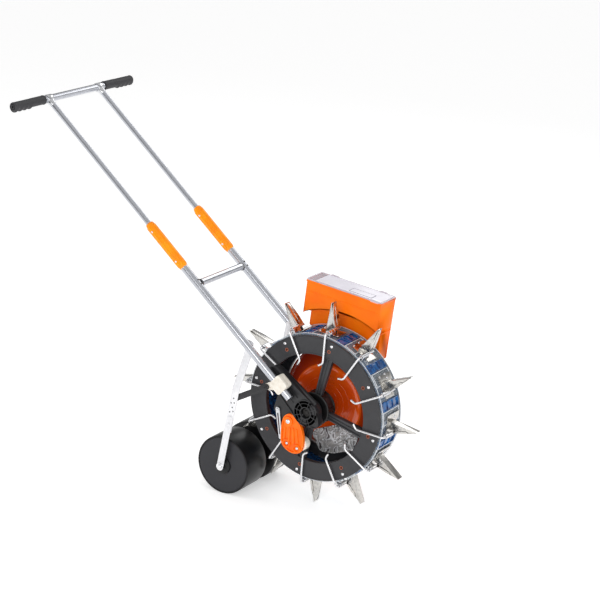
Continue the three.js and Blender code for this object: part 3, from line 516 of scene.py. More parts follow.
def spokes(bm):
    f = -HALF_WIDTH
    for k in range(4):
        m = spun(SPOKE_PHASE + k * math.pi / 2)
        prism(bm, [(-9.5, 40), (9.5, 40), (13, BORE + 3), (-13, BORE + 3)], f + 3.4, f + 9.5, m=m)
        for side in (-1, 1):
            rib = [(side * x, z) for x, z in ((9.5, 40), (5.8, 40), (8.6, BORE + 1.6),
                                              (13, BORE + 1.6))]
            prism(bm, rib if side > 0 else rib[::-1], f - 0.4, f + 14, m=m)
        prism(bm, rect(-1.5, 1.5, 40, BORE + 1.6), f + 1.2, f + 15, m=m)


bm = bmesh.new()
side_plate_ring(bm)
spokes(bm)
part("wheel_plate_near", bm, BLACK, "wheel", "black_plastic", ["near_side_plate"], 0.5)

bm = bmesh.new()
lathe(bm, [(17.8, -57.6), (22, -57.6), (23, -56.4), (29, -56.4), (30, -57.9), (44, -57.9), (46, -56),
           (46, -50), (43.5, -48), (43.5, -26), (46, -24), (46, -21), (44.5, -20), (17.8, -20)], 72)
for k in range(8):
    m = spun(SPOKE_PHASE + (k + 0.5) * math.pi / 4)
    block(bm, -1.6, 1.6, -49, -25, 40, 45.8, m=m)
part("wheel_hub", bm, HUB_BLACK, "wheel", "black_plastic", ["near_side_plate"], 0.5)

bm = bmesh.new()
side_plate_ring(bm)
part("wheel_plate_far", bm, BLACK, "wheel", "black_plastic", ["far_side_ring"], 0.5, mirror=True)

for label, side in SIDES:
    bm = bmesh.new()
    plugs = bmesh.new()
    for k in range(8):
        m = spun(SPOKE_PHASE + k * math.pi / 4) @ at(0, -HALF_WIDTH + 0.4, RIM - 12) @ FLIP
        screw_head(bm, 4.4, 2.3, m)
        m = spun(SPOKE_PHASE + k * math.pi / 4 - 0.02) @ at(0, -HALF_WIDTH + 0.7, RIM - 29) @ FLIP
        turned(plugs, [(4.6, -1), (4.6, 0.5), (3.6, 0.9), (3.2, 0.1)], 20, m=m)
    node = "near_side_plate" if side < 0 else "far_side_ring"
    part(f"plate_screws_{label}", bm, SCREW, "wheel", "steel", [node], mirror=side > 0)
    part(f"plate_plugs_{label}", plugs, PLUG, "wheel", "dish_plastic", [node], mirror=side > 0)

# clear rim band: a thin skin with flanges, open where the blue blocks stand
bm = bmesh.new()
BLOCK_AT = math.radians(14.6)
BLOCK_HALF = math.radians(3.7)


def curved_slab(bm, r0, r1, y0, y1, a0, a1, steps, phase=0.0):
    """A slab bent round the wheel between two angles."""
    rings = []
    for i in range(steps + 1):
        a = phase + a0 + (a1 - a0) * i / steps
        s, c = math.sin(a), math.cos(a)
        rings.append([(r * s, y, r * c) for r, y in rect(r0, r1, y0, y1)])
    loft(bm, rings)


for k in range(12):
    phase = MOUTH_PHASE + k * STEP
    curved_slab(bm, BAND_TOP - 3, BAND_TOP, -43.2, 43.2, BLOCK_AT + BLOCK_HALF,
                BLOCK_AT - BLOCK_HALF + STEP, 12, phase)
for y0 in (-BAND_HALF, BAND_HALF - 4):
    lathe(bm, [(BAND_TOP - 3, y0), (BAND_TOP + 3.6, y0), (BAND_TOP + 4, y0 + 0.4),
               (BAND_TOP + 4, y0 + 3.6), (BAND_TOP + 3.6, y0 + 4), (BAND_TOP - 3, y0 + 4)], 160)
part("rim_band", bm, CLEAR, "wheel", "clear_plastic", ["clear_rim_band"], 0.3)

# raised ribs along each window's edges and round both rims of the band, coloured near-white: painted
# highlights where the clear plastic's edges catch the light
bm = bmesh.new()
for k in range(12):
    phase = MOUTH_PHASE + k * STEP
    for y0 in (-38, 41):
        curved_slab(bm, BAND_TOP - 0.4, BAND_TOP + 1.5, y0, y0 + 1.7, math.radians(18.8),
                    math.radians(29.5), 8, phase)
    for a in (18.8, 28.6):
        curved_slab(bm, BAND_TOP - 0.4, BAND_TOP + 1.3, -38, 42.7, math.radians(a),
                    math.radians(a + 0.45), 1, phase)
for y0 in (-BAND_HALF - 0.2, BAND_HALF - 0.9):
    lathe(bm, rect(BAND_TOP + 3.2, BAND_TOP + 4.2, y0, y0 + 1.1), 160)
part("rim_band_edge_highlights", bm, RIM_EDGE_HIGHLIGHT, "wheel", "clear_plastic", ["clear_rim_band"], 0.2)

# blue seed channel with its pocketed blocks
bm = bmesh.new()
lathe(bm, rect(179, 184, -41.5, 41.5), 144)
for k in range(12):
    phase = MOUTH_PHASE + k * STEP + BLOCK_AT
    w = math.radians(3.5)
    curved_slab(bm, 183, 201.4, -41.5, 41.5, -w, w, 4, phase)
    for y0, y1 in ((-41.5, -38), (-15, -12.4), (12.4, 15), (38, 41.5)):
        curved_slab(bm, 200, 204, y0, y1, -w, w, 4, phase)
    for a in (-w, w - math.radians(0.7)):
        curved_slab(bm, 200, 203.9, -41, 41, a, a + math.radians(0.7), 1, phase)
part("seed_channel", bm, BLUE, "wheel", "blue_plastic", ["seed_channel_ring"], 0.5, segments=2)


def roller_parts():
    """The seed roller, its spring and screws, and the tray they sit in, behind a clear window."""
    tray, bright = bmesh.new(), bmesh.new()
    curved_slab(tray, 184.4, 187.5, -41, 41, math.radians(-4.6), math.radians(4.6), 6)
    for y0 in (-41, 38.6):
        curved_slab(tray, 187, 194, y0, y0 + 2.4, math.radians(-4.4), math.radians(4.4), 4)
    sweep(bright, [(-3, -30, 191), (-3, 6, 191)], 5.0, 16)
    for y in (-24, -14, -4):
        turned(bright, [(6.0, y - 1.2), (6.4, y), (6.0, y + 1.2)], 16, m=at(-3, 0, 191))
    points, turn_each, rise_each, radius = 90, 0.62, 0.28, 2.6
    coil = [(6.5 + radius * math.cos(i * turn_each), 10 + i * rise_each,
             191.5 + radius * math.sin(i * turn_each)) for i in range(points)]
    sweep(bright, coil, 0.7, 5)
    for x, y in ((7.5, -30), (8.5, -6), (-8, 20), (-8, 33)):
        screw_head(bright, 3.4, 2.4, at(x, y, 188.2) @ FLAT, 14)
    plate_outline = rounded(rect(-12, 12, -38, 38), 3, 4)
    prism(bright, plate_outline, -188.6, -187.4, m=FLAT)
    return (mesh_of("roller_tray", tray, HUB_BLACK, 0.3),
            mesh_of("roller_works", bright, ROLLER, 0.0))


tray_mesh, works_mesh = roller_parts()
for k in range(12):
    turn = spun(MOUTH_PHASE + k * STEP + math.radians(24))
    piece(f"roller_tray_{k + 1:02d}", tray_mesh, "wheel", place=turn)
    piece(f"roller_works_{k + 1:02d}", works_mesh, "wheel", place=turn)


# ---------------------------------------------------------------- duckbill mouths
def lead_x(z):
    """How far ahead of the mouth's middle its movable jaw runs at a height."""
    return HINGE_X + (1.2 - HINGE_X) * (z - HINGE_R) / (TIP - 2 - HINGE_R)


def fixed_mouth():
    """The fixed jaw: a base plate with its window, a folded back with two cheeks, and feet."""
    bm = bmesh.new()
    base = rounded([(-34, -22), (-14, -22), (5, -22), (9, -40), (28, -40), (28, 22), (-34, 22)], 4, 4)
    hole = rounded(rect(-8, 8.6, -8.6, 8.6), 2, 3)[::-1]
    prism(bm, base, -203.4, -201.6, holes=[hole], m=FLAT)
    # the folded jaw: a back and two cheeks in one bent sheet
    w, t = 11.4, 1.3
    low = 202.2
    cheek = [(-10.5, low), (11.2, low), (11.4, 232), (lead_x(250) - 1.7, 250),
             (lead_x(281) - 1.2, 280.5), (0.2, 284.4), (-1.4, 284.4)]
    for y in (-w, w - t):
        prism(bm, cheek, y, y + t)
    prism(bm, [(-10.5, low), (-9.2, low), (0.0, 283.4), (0.2, 285), (-1.6, 285)], -w, w)
    # short welded foot flanges beside the cheeks
    for side in (-1, 1):
        block(bm, -9, 9, min(side * w, side * (w + 4)), max(side * w, side * (w + 4)), 203.0, 204.4)
    return mesh_of("mouth_fixed", bm, JAW_STEEL, 0.35, 2, 30)


def hinge_barrel():
    """The rolled hinge barrel, its folded web and the two base screws."""
    bm = bmesh.new()
    barrel = at(HINGE_X, 0, HINGE_R)
    for y0, y1 in ((-48, -38.4), (-37.8, -25.6), (-25, -15)):
        lathe(bm, [(3.8, y0), (5.5, y0), (5.9, y0 + 0.5), (5.9, y1 - 0.5), (5.5, y1), (3.8, y1)],
              28, m=barrel)
    block(bm, HINGE_X - 2.6, HINGE_X + 2.6, -41, -16.5, 202.6, HINGE_R - 4.4)
    block(bm, HINGE_X + 4.2, HINGE_X + 6.2, -46, -16.5, 203, HINGE_R + 0.5)
    for x, y in ((-24.7, -15), (-15.5, 16), (-27, 12)):
        screw_head(bm, 3.3, 1.9, at(x, y, 203.3) @ FLAT, 16)
    return mesh_of("mouth_hinge", bm, STEEL, 0.3, 2, 40)


def lever_mouth():
    """The movable jaw strip with its rounded tip, and its side tabs."""
    bm = bmesh.new()
    half = 13.3
    reach = TIP - 2
    slope = math.atan2(lead_x(HINGE_R) - lead_x(reach), reach - HINGE_R)
    length = (reach - HINGE_R) / math.cos(slope)
    outline = []
    for i in range(9):
        a = math.pi * i / 8
        outline.append((half * 0.62 * math.cos(a), length - 6 + 6 * math.sin(a)))
    outline = [(half, 4), (half, length * 0.45)] + outline + [(-half, length * 0.45), (-half, 4),
                                                              (-half + 2, 0), (half - 2, 0)]
    stand = at(HINGE_X, 0, HINGE_R) @ spun(-slope) @ Matrix.Rotation(math.pi / 2, 4, "Z")
    prism(bm, outline, -0.9, 0.8, m=stand)
    prism(bm, [(-1.1, 10), (1.1, 10), (0.6, length - 10), (-0.6, length - 10)], -1.7, -0.7, m=stand)
    cheek = [(lead_x(226) - 5.5, 226), (lead_x(222), 222), (lead_x(262), 262), (lead_x(256) - 5.5, 255)]
    for y in (-half, half - 1.4):
        prism(bm, cheek, y, y + 1.4)
    return mesh_of("mouth_strip", bm, JAW_STEEL, 0.35, 2, 30)


def lever_wire():
    """The bent lever: hinge rod, arm down the plate's face, and the hook at its end."""
    bm = bmesh.new()
    y = -HALF_WIDTH - 5.5
    path = bent([(HINGE_X, 13, HINGE_R), (HINGE_X, y, HINGE_R), (HINGE_X, y, 134), (4.1, y, 125)], 7, 7)
    sweep(bm, path, 2.9, 16)
    return mesh_of("mouth_wire", bm, WIRE)


fixed_mesh, hinge_mesh = fixed_mouth(), hinge_barrel()
strip_mesh, wire_mesh = lever_mouth(), lever_wire()
for k in range(12):
    number = f"{k + 1:02d}"
    turn = spun(MOUTH_PHASE + k * STEP)
    piece(f"mouth_fixed_{number}", fixed_mesh, "wheel", [f"duckbill_fixed_jaw_{number}"], turn)
    piece(f"mouth_hinge_barrel_{number}", hinge_mesh, "wheel",
          [f"duckbill_fixed_jaw_{number}"], turn)
    piece(f"mouth_strip_{number}", strip_mesh, f"lever_{number}",
          [f"duckbill_lever_jaw_{number}"], turn)
    piece(f"mouth_wire_{number}", wire_mesh, f"lever_{number}",
          [f"duckbill_lever_jaw_{number}"], turn)


# ---------------------------------------------------------------- side arms
ARM_OUT, ARM_IN = -97.7, -73.7
ARM_HALF, BOSS = 23.6, 36.6
end_x, end_z = on_handle(130)
nose_x, nose_z = on_handle(-34)
ear_x, ear_z = on_handle(120, -31)
root_x, root_z = on_handle(98)


def arm_mesh(name, near):
    """A moulded arm: raised border, sunk face with ribs, boss rings and the axle's dark well."""
    bm = bmesh.new()
    body = hull([(0, 0, BOSS), (end_x, end_z, ARM_HALF)])
    nose = hull([(0, 0, BOSS), (nose_x, nose_z, 14.5)])
    ear = hull([(ear_x, ear_z, 10.6), (root_x, root_z, 19.6)])
    axle_hole = circle(0, 0, 14.8, 40)[::-1]
    channel = hull([(*on_handle(60), 4.2), (*on_handle(140), 4.2)], 24)
    prism(bm, body, ARM_OUT + 2.8, ARM_IN, holes=[axle_hole, channel[::-1]])
    prism(bm, nose, ARM_OUT + 2.8, ARM_IN, holes=[axle_hole])
    prism(bm, ear, ARM_OUT + 1.2, ARM_IN)
    for outline in (body, nose):
        prism(bm, outline, ARM_OUT + 0.2, ARM_OUT + 3.4, holes=[offset(outline, 2.4)[::-1]])
    prism(bm, offset(channel, -1.8), ARM_OUT + 1.4, ARM_OUT + 3.4, holes=[channel[::-1]])
    prism(bm, offset(body, 6), ARM_IN - 4, ARM_IN - 1, holes=[axle_hole])
    lathe(bm, [(14.8, ARM_OUT + 0.2), (17.4, ARM_OUT + 0.2), (17.8, ARM_OUT + 3.4),
               (14.8, ARM_OUT + 3.4)], 56)
    lathe(bm, rect(26, 27.6, ARM_OUT + 1.0, ARM_OUT + 3.4), 56)
    for degrees in (-78, -40, 18, 62, 112, 160, 205, 250):
        block(bm, -0.9, 0.9, ARM_OUT + 0.8, ARM_OUT + 3.4, 17.4, 34.6, m=spun(math.radians(degrees)))
    lathe(bm, [(8.6, ARM_IN - 3), (28.5, ARM_IN - 3), (28.5, -59.4), (27.5, -59), (8.6, -59)], 48)
    for above in (-9.5, 9.5):
        rib = hull([(*on_handle(44, above), 1.0), (*on_handle(142, above), 1.0)], 12)
        prism(bm, rib, ARM_OUT + 1.2, ARM_OUT + 3.4)
    if near:
        lobe = hull([(-58, -36, 21.5), (-96, -14, 12.5), (0, 0, 19.5), (-86, 30, 9.5)])
        prism(bm, lobe, -79.6, ARM_IN - 0.2, holes=[axle_hole])
    return mesh_of(name, bm, ARM_BLACK, 0.5, 2, 40, mirror=not near)


piece("arm_near", arm_mesh("arm_near", True), "frame", ["near_side_arm"])
piece("arm_far", arm_mesh("arm_far", False), "frame", ["far_side_arm"])

# axle, its nuts and the hub bearings
bm = bmesh.new()
sweep(bm, [(0, -93.4, 0), (0, 93.4, 0)], 7.9, 40)
for m in (at(0, -84.9, 0) @ FLIP, at(0, 84.9, 0)):
    turned(bm, [(12.9, 0), (12.9, 6.2), (11.4, 6.8), (8.4, 6.8)], 6, m=m)
part("axle_and_nuts", bm, AXLE_DARK, "frame", "steel", ["axle"], 0.4)
for label, y0 in (("near", -56), ("far", -33)):
    bm = bmesh.new()
    lathe(bm, [(8.3, y0), (10.6, y0), (11.2, y0 + 0.8), (15, y0 + 0.8), (15.6, y0), (17.4, y0),
               (17.4, y0 + 11), (8.3, y0 + 11)], 48)
    part(f"bearing_{label}", bm, STEEL, "wheel", "steel", [f"hub_bearing_{label}"], 0.3)


# ---------------------------------------------------------------- handle
def tube_mesh(name, start, end, radius, y):
    """A tube along the handle from one distance to another, with a 1.5 mm wall."""
    ax, az = on_handle(start)
    bx, bz = on_handle(end)
    length = math.hypot(bx - ax, bz - az)
    bm = bmesh.new()
    inner = radius - 1.5
    profile = [(inner, 0), (radius - 0.5, 0), (radius, 0.5), (radius, length - 0.5),
               (radius - 0.5, length), (inner, length)]
    direction = Vector((bx - ax, 0, bz - az)).normalized()
    turn = Vector((0, 1, 0)).rotation_difference(direction)
    stand = at(ax, y, az) @ turn.to_matrix().to_4x4()
    lathe(bm, profile, 48, m=stand)
    return mesh_of(name, bm, TUBE)


SPLICE, BAR_AT, CROSS_AT = 583, 1112, 449
for label, side in SIDES:
    y = side * TUBE_Y
    piece(f"tube_lower_{label}", tube_mesh(f"tube_lower_{label}", 54, SPLICE - 1, 11, y), "frame",
          [f"lower_tube_{label}"])
    piece(f"tube_upper_{label}", tube_mesh(f"tube_upper_{label}", SPLICE + 1, BAR_AT - 10.3, 8, y),
          "frame", [f"upper_tube_{label}"])


def along_handle(distance, y):
    """A frame whose Y runs up the handle, X stays square to it in the side view, and Z outward."""
    x, z = on_handle(distance)
    up = Vector((-math.cos(HANDLE), 0, math.sin(HANDLE)))
    square = Vector((math.sin(HANDLE), 0, math.cos(HANDLE)))
    side = Vector((0, -1, 0))
    m = Matrix.Identity(4)
    for row in range(3):
        m[row][0], m[row][1], m[row][2] = square[row], up[row], side[row]
    m.translation = (x, y, z)
    return m


def sleeve(name, side):
    """A moulded splice sleeve: eight sides, raised lengthwise ridges and chamfered ends."""
    bm = bmesh.new()
    m = along_handle(SPLICE, side * TUBE_Y)
    length = 157 / 2
    rings = []
    for distance, radius in ((-length, 10.2), (-length + 1.5, 11.4), (-length + 8, 13.0),
                             (length - 8, 13.0), (length - 1.5, 11.4), (length, 8.6)):
        rings.append([(radius * math.cos(a), distance, radius * math.sin(a))
                      for a in [math.pi / 8 + k * math.pi / 4 for k in range(8)]])
    loft(bm, rings, m=m)
    for k in range(8):
        a = k * math.pi / 4
        ridge = Matrix.Rotation(a, 4, "Y") @ at(0, 0, 12.0)
        wide = 3.4 if k % 2 == 0 else 2.2
        prism(bm, [(-wide, -0.8), (wide, -0.8), (wide - 0.7, 1.6), (-wide + 0.7, 1.6)],
              -length + 10, length - 10, m=m @ ridge)
    return mesh_of(name, bm, SLEEVE, 0.7, 3, 25)


for label, side in SIDES:
    piece(f"sleeve_{label}", sleeve(f"sleeve_{label}", side), "frame",
          [f"splice_sleeve_{label}"])
    bm = bmesh.new()
    m = along_handle(SPLICE, side * TUBE_Y)
    for distance in (-52, 52):
        for face in (1, -1):
            head = m @ at(0, distance, face * 13.2) @ Matrix.Rotation(face * math.pi / 2, 4, "X")
            screw_head(bm, 2.9, 1.4, head, 16)
    part(f"sleeve_screws_{label}", bm, SCREW, "frame", "steel", [f"splice_sleeve_{label}"])

# cross tube with its end saddles and bolts
bm = bmesh.new()
cross_x, cross_z = on_handle(CROSS_AT)
CROSS = at(cross_x, 0, cross_z)
lathe(bm, rect(8.5, 10, -97.6, 97.6), 44, m=CROSS)
part("tube_cross", bm, TUBE, "frame", "tube_metal", ["cross_tube"])
bm = bmesh.new()
for side in (-1, 1):
    lathe(bm, [(9.6, side * 97.4), (11.2, side * 97.4), (11.4, side * 96), (10.1, side * 94.6),
               (9.6, side * 94.6)], 36, m=CROSS)
    m = along_handle(CROSS_AT, side * TUBE_Y)
    for distance, across in ((-7, 0), (7, 0)):
        head = m @ at(11 - 0.4, distance, across) @ Matrix.Rotation(-math.pi / 2, 4, "Z")
        turned(bm, [(2.6, 0), (2.6, 1.3), (1.7, 1.9)], 16, m=head)
part("cross_saddles", bm, DARK_STEEL, "frame", "tube_metal", ["cross_tube"])

# handle bar, its welded collars and the grips
bar_x, bar_z = on_handle(BAR_AT)
BAR = at(bar_x, 0, bar_z)
bm = bmesh.new()
lathe(bm, [(8, -254), (9.5, -254), (10, -253.5), (10, 253.5), (9.5, 254), (8, 254)], 44, m=BAR)
part("bar_top", bm, TUBE, "frame", "tube_metal", ["handle_bar"])
bm = bmesh.new()
for side in (-1, 1):
    y = side * TUBE_Y
    lathe(bm, [(10, y - 11), (11.4, y - 11), (12, y - 10), (12, y + 10), (11.4, y + 11), (10, y + 11)],
          40, m=BAR)
    m = along_handle(BAR_AT - 24, y)
    turned(bm, [(8.2, 0), (9.2, 1), (9.8, 8), (11.2, 15)], 32, m=m)
part("bar_collars", bm, STEEL, "frame", "tube_metal", ["handle_bar"], 0.2)


def grip_mesh(name, side):
    """A soft grip: collar, eased body, four finger ridges underneath and a rounded end."""
    bm = bmesh.new()
    start, end = 130, 257
    rings = []
    steps, sides = 140, 40
    down = -math.pi / 2
    for i in range(steps + 1):
        t = i / steps
        y = start + (end - start) * t
        base = 12.2
        if t < 0.03:
            base = 13.2 - 0.9 * (1 - t / 0.03)
        elif t > 0.97:
            base = 12.6 - 2.4 * ((t - 0.97) / 0.03) ** 2
        ring = []
        for k in range(sides):
            a = 2 * math.pi * k / sides
            under = max(0.0, math.cos(a - down))
            bulge = 0.0
            if t > 0.42:
                cycle = (end - y) / 19 % 1.0
                bulge = 3.6 * under ** 1.3 * max(0.0, math.sin(math.pi * min(1.0, cycle / 0.72))) ** 0.7
                bulge *= 1 - max(0.0, (t - 0.97) / 0.03)
            groove = 0.28 * math.cos(a * 20) if 0.05 < t < 0.42 and under < 0.3 else 0
            r = base + bulge + groove
            ring.append((bar_x + r * math.cos(a), y, bar_z + r * math.sin(a)))
        rings.append(ring)
    loft(bm, rings)
    lathe(bm, rect(6.6, 8.2, end - 1.2, end), 32, m=BAR)
    lathe(bm, rect(0.4, 3.2, end - 1.2, end), 20, m=BAR)
    return mesh_of(name, bm, RUBBER, mirror=side < 0, smooth=55)


for label, side in SIDES:
    piece(f"soft_grip_{label}", grip_mesh(f"soft_grip_{label}", side), "frame",
          [f"grip_{label}"])


def clamp_mesh(name, side):
    """A tube clamp: a rounded cream block split in two, with an ear and a raised panel."""
    bm = bmesh.new()
    m = along_handle(98, 0)
    block_edge = rounded(rect(-13, 28, -19, 21), 8, 6)
    ear_edge = hull([(4, 2, 15), (-31, 22, 8.4)])

    def slab(outline, z0, z1, inset=0.0):
        edge = offset(outline, inset) if inset else outline
        loft(bm, [[m @ Vector((x, y, z)) for x, y in edge] for z in (z0, z1)])

    slab(block_edge, 98.2, 109.8)
    slab(block_edge, 109.8, 110.6, 0.8)
    slab(block_edge, 110.6, 123.6)
    slab(ear_edge, 98.3, 113.6)
    # a raised panel and a short bar moulded on the outer face
    slab(rounded(rect(0, 20, -4, 12), 3, 4), 123.2, 124.0)
    slab(hull([(6, 0, 1.6), (6, 8, 1.6)], 16), 123.8, 124.4)
    return mesh_of(name, bm, CREAM, 1.2, 3, 40, mirror=side > 0)


for label, side in SIDES:
    piece(f"clamp_{label}", clamp_mesh(f"clamp_{label}", side), "frame",
          [f"tube_clamp_{label}"])

# ---------------------------------------------------------------- opener
OPENER_HOLES = ((-61, -101), (-29, -109))
OPENER_BOSS = (-57, -38)
OPENER_EDGE = [(-57, -16), (-70, -24), (-77, -44), (-79, -69), (-79, -98), (-70, -113), (-52, -123),
               (-36, -125), (-16, -119), (-9, -100), (-8, -74), (-16, -47), (-32, -22), (-44, -16)]
bm = bmesh.new()
edge = rounded(OPENER_EDGE, 10, 4)
FRONT = -90                     # the cover's outer face
BOSS_AT = at(OPENER_BOSS[0], 0, OPENER_BOSS[1])
prism(bm, edge, FRONT + 3.2, FRONT + 9.8, holes=[circle(*spot, 6, 24)[::-1] for spot in OPENER_HOLES])
prism(bm, edge, FRONT + 0.3, FRONT + 4, holes=[offset(edge, 3.4)[::-1]])
for x, z in OPENER_HOLES:
    lathe(bm, [(8.4, FRONT - 0.2), (11.8, FRONT - 0.2), (12.6, FRONT + 4), (8.4, FRONT + 4)],
          36, m=at(x, 0, z))
    lathe(bm, rect(5.0, 8.6, FRONT + 3, FRONT + 4.2), 36, m=at(x, 0, z))
lathe(bm, [(6.4, FRONT + 0.2), (13, FRONT + 0.2), (13.6, FRONT + 4), (6.4, FRONT + 4)], 36, m=BOSS_AT)
for (x0, z0), (x1, z1), r in (((-52, -56), (-54, -92), 2.0), ((-42, -56), (-40, -96), 2.4),
                              ((-31, -56), (-27, -92), 2.0), ((-66, -58), (-69, -86), 1.8)):
    prism(bm, hull([(x0, z0, r), (x1, z1, r * 1.5)], 16), FRONT + 0.4, FRONT + 4)
part("opener_cover", bm, OPENER, "frame", "orange_plastic", ["opener_plate"], 0.6, 3, 35)
bm = bmesh.new()
screw_head(bm, 6.6, 3.0, BOSS_AT @ at(0, FRONT + 0.2, 0) @ FLIP, 24)
for x, z in OPENER_HOLES:
    screw_head(bm, 4.4, 2.6, at(x, FRONT + 4.2, z) @ FLIP, 20)
part("opener_bolts", bm, SCREW, "frame", "steel", ["opener_plate"])
bm = bmesh.new()
prism(bm, hull([(-46, -104, 13.6), (-22, -98, 17.6)]), FRONT + 10.4, -58.8)
part("opener_cam_block", bm, CREAM, "frame", "cream_plastic", ["opener_cam"], 1.2, 3)
bm = bmesh.new()
strap = hull([(-95, -14, 6.3), (-84, -92, 4.8)], 28)
prism(bm, strap, -82.8, -80.4, holes=[hull([(-94, -26, 2.0), (-86, -82, 1.6)], 16)[::-1]])
bolt_head(bm, 4.2, 4, at(-95, -82.8, -14) @ FLIP)
part("opener_link", bm, STEEL, "frame", "steel", ["opener_strap"], 0.4)

# ---------------------------------------------------------------- seed dish, window and inlet cover
bm = bmesh.new()
lathe(bm, [(8.6, 8), (22, 8), (23, 9.4), (84, 9.4), (88, 8.2), (99, 8.2), (101.5, 9), (103, 12.5),
           (120, 24), (144, 42.5), (146, 45), (146, 52.5), (143.2, 52.5), (143.2, 46), (118.5, 26.6),
           (100, 14.4), (98, 11.4), (24, 11.4), (24, 58.6), (8.6, 58.6)], 128)
for k in range(3):
    lathe(bm, [(34 + 17 * k, 9.0), (35 + 17 * k, 8.7), (36 + 17 * k, 9.0), (36 + 17 * k, 9.9),
               (34 + 17 * k, 9.9)], 96)
part("dish", bm, DISH, "frame", "dish_plastic", ["seed_dish"], 0.4, 2, 30)

bm = bmesh.new()
WINDOW_CIRCLES = [(-14, -96, 19.5), (-2, -124, 15.5), (45, -72, 19.5), (82, -78, 21.5), (76, -98, 19.5),
                  (28, -122, 15.5)]
outer = hull(WINDOW_CIRCLES)
prism(bm, outer, 3.2, 7.6)
prism(bm, outer, 0.9, 3.6, holes=[offset(outer, 3)[::-1]])
for x, z, radii in ((40, -64, (7.6, 5.2)), (67, -98, (18, 14, 10, 6)), (8, -108, (14, 9.5, 5))):
    for r in radii:
        face = 0.9 if r < 8 else 2.0
        lathe(bm, [(r - 1.1, face), (r, face), (r + 0.3, 3.8), (r - 1.4, 3.8)], 40, m=at(x, 0, z))
for k in range(9):
    a = k * 0.7
    x0, z0 = 30 + 42 * math.cos(a), -98 + 22 * math.sin(a)
    x1, z1 = x0 + 12 * math.sin(a * 1.7), z0 + 8 * math.cos(a)
    prism(bm, hull([(x0, z0, 0.8), (x1, z1, 0.8)], 10), 1.8, 3.6)
part("window_cover", bm, WINDOW, "frame", "clear_plastic", ["seed_window"], 0.5, 2, 30)
bm = bmesh.new()
turned(bm, [(7.6, 1.0), (7.6, -3.6), (6.2, -5), (3.2, -5), (2.8, -2)], 28, m=at(40, 0, -64))
turned(bm, [(7.0, 1.0), (7.0, -3.2), (5.8, -4.6), (3.6, -4.6), (3.0, -1)], 28, m=at(67, 0, -98))
part("window_knobs", bm, WINDOW, "frame", "clear_plastic", ["seed_window"])

HOPPER = at(HOPPER_TOP[0], 0, HOPPER_TOP[1]) @ spun(HOPPER_TILT)
bm = bmesh.new()
lathe(bm, rect(24.3, 143, 47, 50), 120)
for r in (60, 100, 125):
    lathe(bm, rect(r, r + 2, 49.6, 51.6), 96)
duct = rounded(rect(20, 84, -242.6, -205.4), 4, 4)
loft(bm, [[HOPPER @ Vector((x, y, z)) for x, z in duct] for y in (49.5, 109.6)])
part("dish_cover", bm, ORANGE, "frame", "dish_plastic", ["seed_inlet_cover"], 0.5)


# ---------------------------------------------------------------- hopper and lid
WALL = 2.5


def hopper_mesh():
    """A thin-walled hopper: rolled top edge, box, hollow over the wheel, funnel and spout."""
    near, far, half = 35, 110, 114
    recess = 247
    cx, cz = -HOPPER_TOP[0], -HOPPER_TOP[1]
    a = HOPPER_TILT
    hub = Vector((cx * math.cos(a) - cz * math.sin(a), cx * math.sin(a) + cz * math.cos(a)))

    def arc_z(x, radius):
        inside = radius * radius - (x - hub.x) ** 2
        return hub.y + math.sqrt(inside) if inside > 0 else -94

    # the near wall ends in the hollow's arc
    steps = 40
    across = [-half + 2 * half * i / steps for i in range(steps + 1)]
    lower = [(x, max(-94, min(-40, arc_z(x, recess)))) for x in across]
    outline = [(-half, 0), (-half, lower[0][1])] + lower[1:-1] + [(half, lower[-1][1]), (half, 0)]
    bm = bmesh.new()
    prism(bm, outline, near, near + WALL, m=HOPPER)
    # the curved floor over the wheel, between the near wall and the funnel
    rings = []
    for x, z in lower:
        rings.append([HOPPER @ Vector((x, y, z + dz)) for y, dz in
                      ((near, 0), (60, 0), (60, WALL), (near, WALL))])
    loft(bm, rings)
    # end walls of the box
    for x0 in (-half, half - WALL):
        low = lower[0][1] if x0 < 0 else lower[-1][1]
        block(bm, x0, x0 + WALL, near, far, low, 0, m=HOPPER)
    # the funnel's walls and its floor down to the spout
    back, front = -104, 113
    shape = [(back, -74), (back, -131), (20, -205), (84, -205), (front, -172), (front, -74)]
    full = [(-half, 0), (-half, -94), (back, -94), (back, -131), (20, -205), (84, -205), (front, -172),
            (front, -94), (half, -94), (half, 0)]
    prism(bm, full[::-1], far - WALL, far, m=HOPPER)
    prism(bm, shape[::-1], 60, 60 + WALL, m=HOPPER)
    for (x0, z0), (x1, z1) in zip(shape, shape[1:]):
        if z0 == z1:
            continue
        run = Vector((x1 - x0, z1 - z0)).normalized()
        nx, nz = -run.y * WALL, run.x * WALL
        wall = [(x0, z0), (x1, z1), (x1 + nx, z1 + nz), (x0 + nx, z0 + nz)]
        prism(bm, wall, 60, far, m=HOPPER)
    for x0, x1 in ((-half, back), (front, half)):
        block(bm, x0, x1 + 0.5, 60, far, -94, -91.5, m=HOPPER)
    # the rolled top edge
    for y0, y1, x0, x1 in ((near - 1.4, near + WALL, -half - 1.4, half + 1.4),
                           (far - WALL, far, -half - 1.4, half + 1.4)):
        block(bm, x0, x1, y0, y1, -5, -0.2, m=HOPPER)
    for x0 in (-half - 1.4, half - WALL):
        block(bm, x0, x0 + 3.9, near - 1.4, far, -5, -0.2, m=HOPPER)
    # a shallow stiffening bead along the near wall
    block(bm, -half + 6, half - 6, near - 0.8, near + 0.5, -30, -28.4, m=HOPPER)
    # hinge lugs
    for x in (-88, -64, 64, 88):
        prism(bm, rect(x - 2, x + 2, -16, 0), far - 0.5, 115, m=HOPPER)
    return mesh_of("hopper_shell", bm, ORANGE, 0.7, 3, 40)


piece("hopper_shell", hopper_mesh(), "frame", ["hopper"])

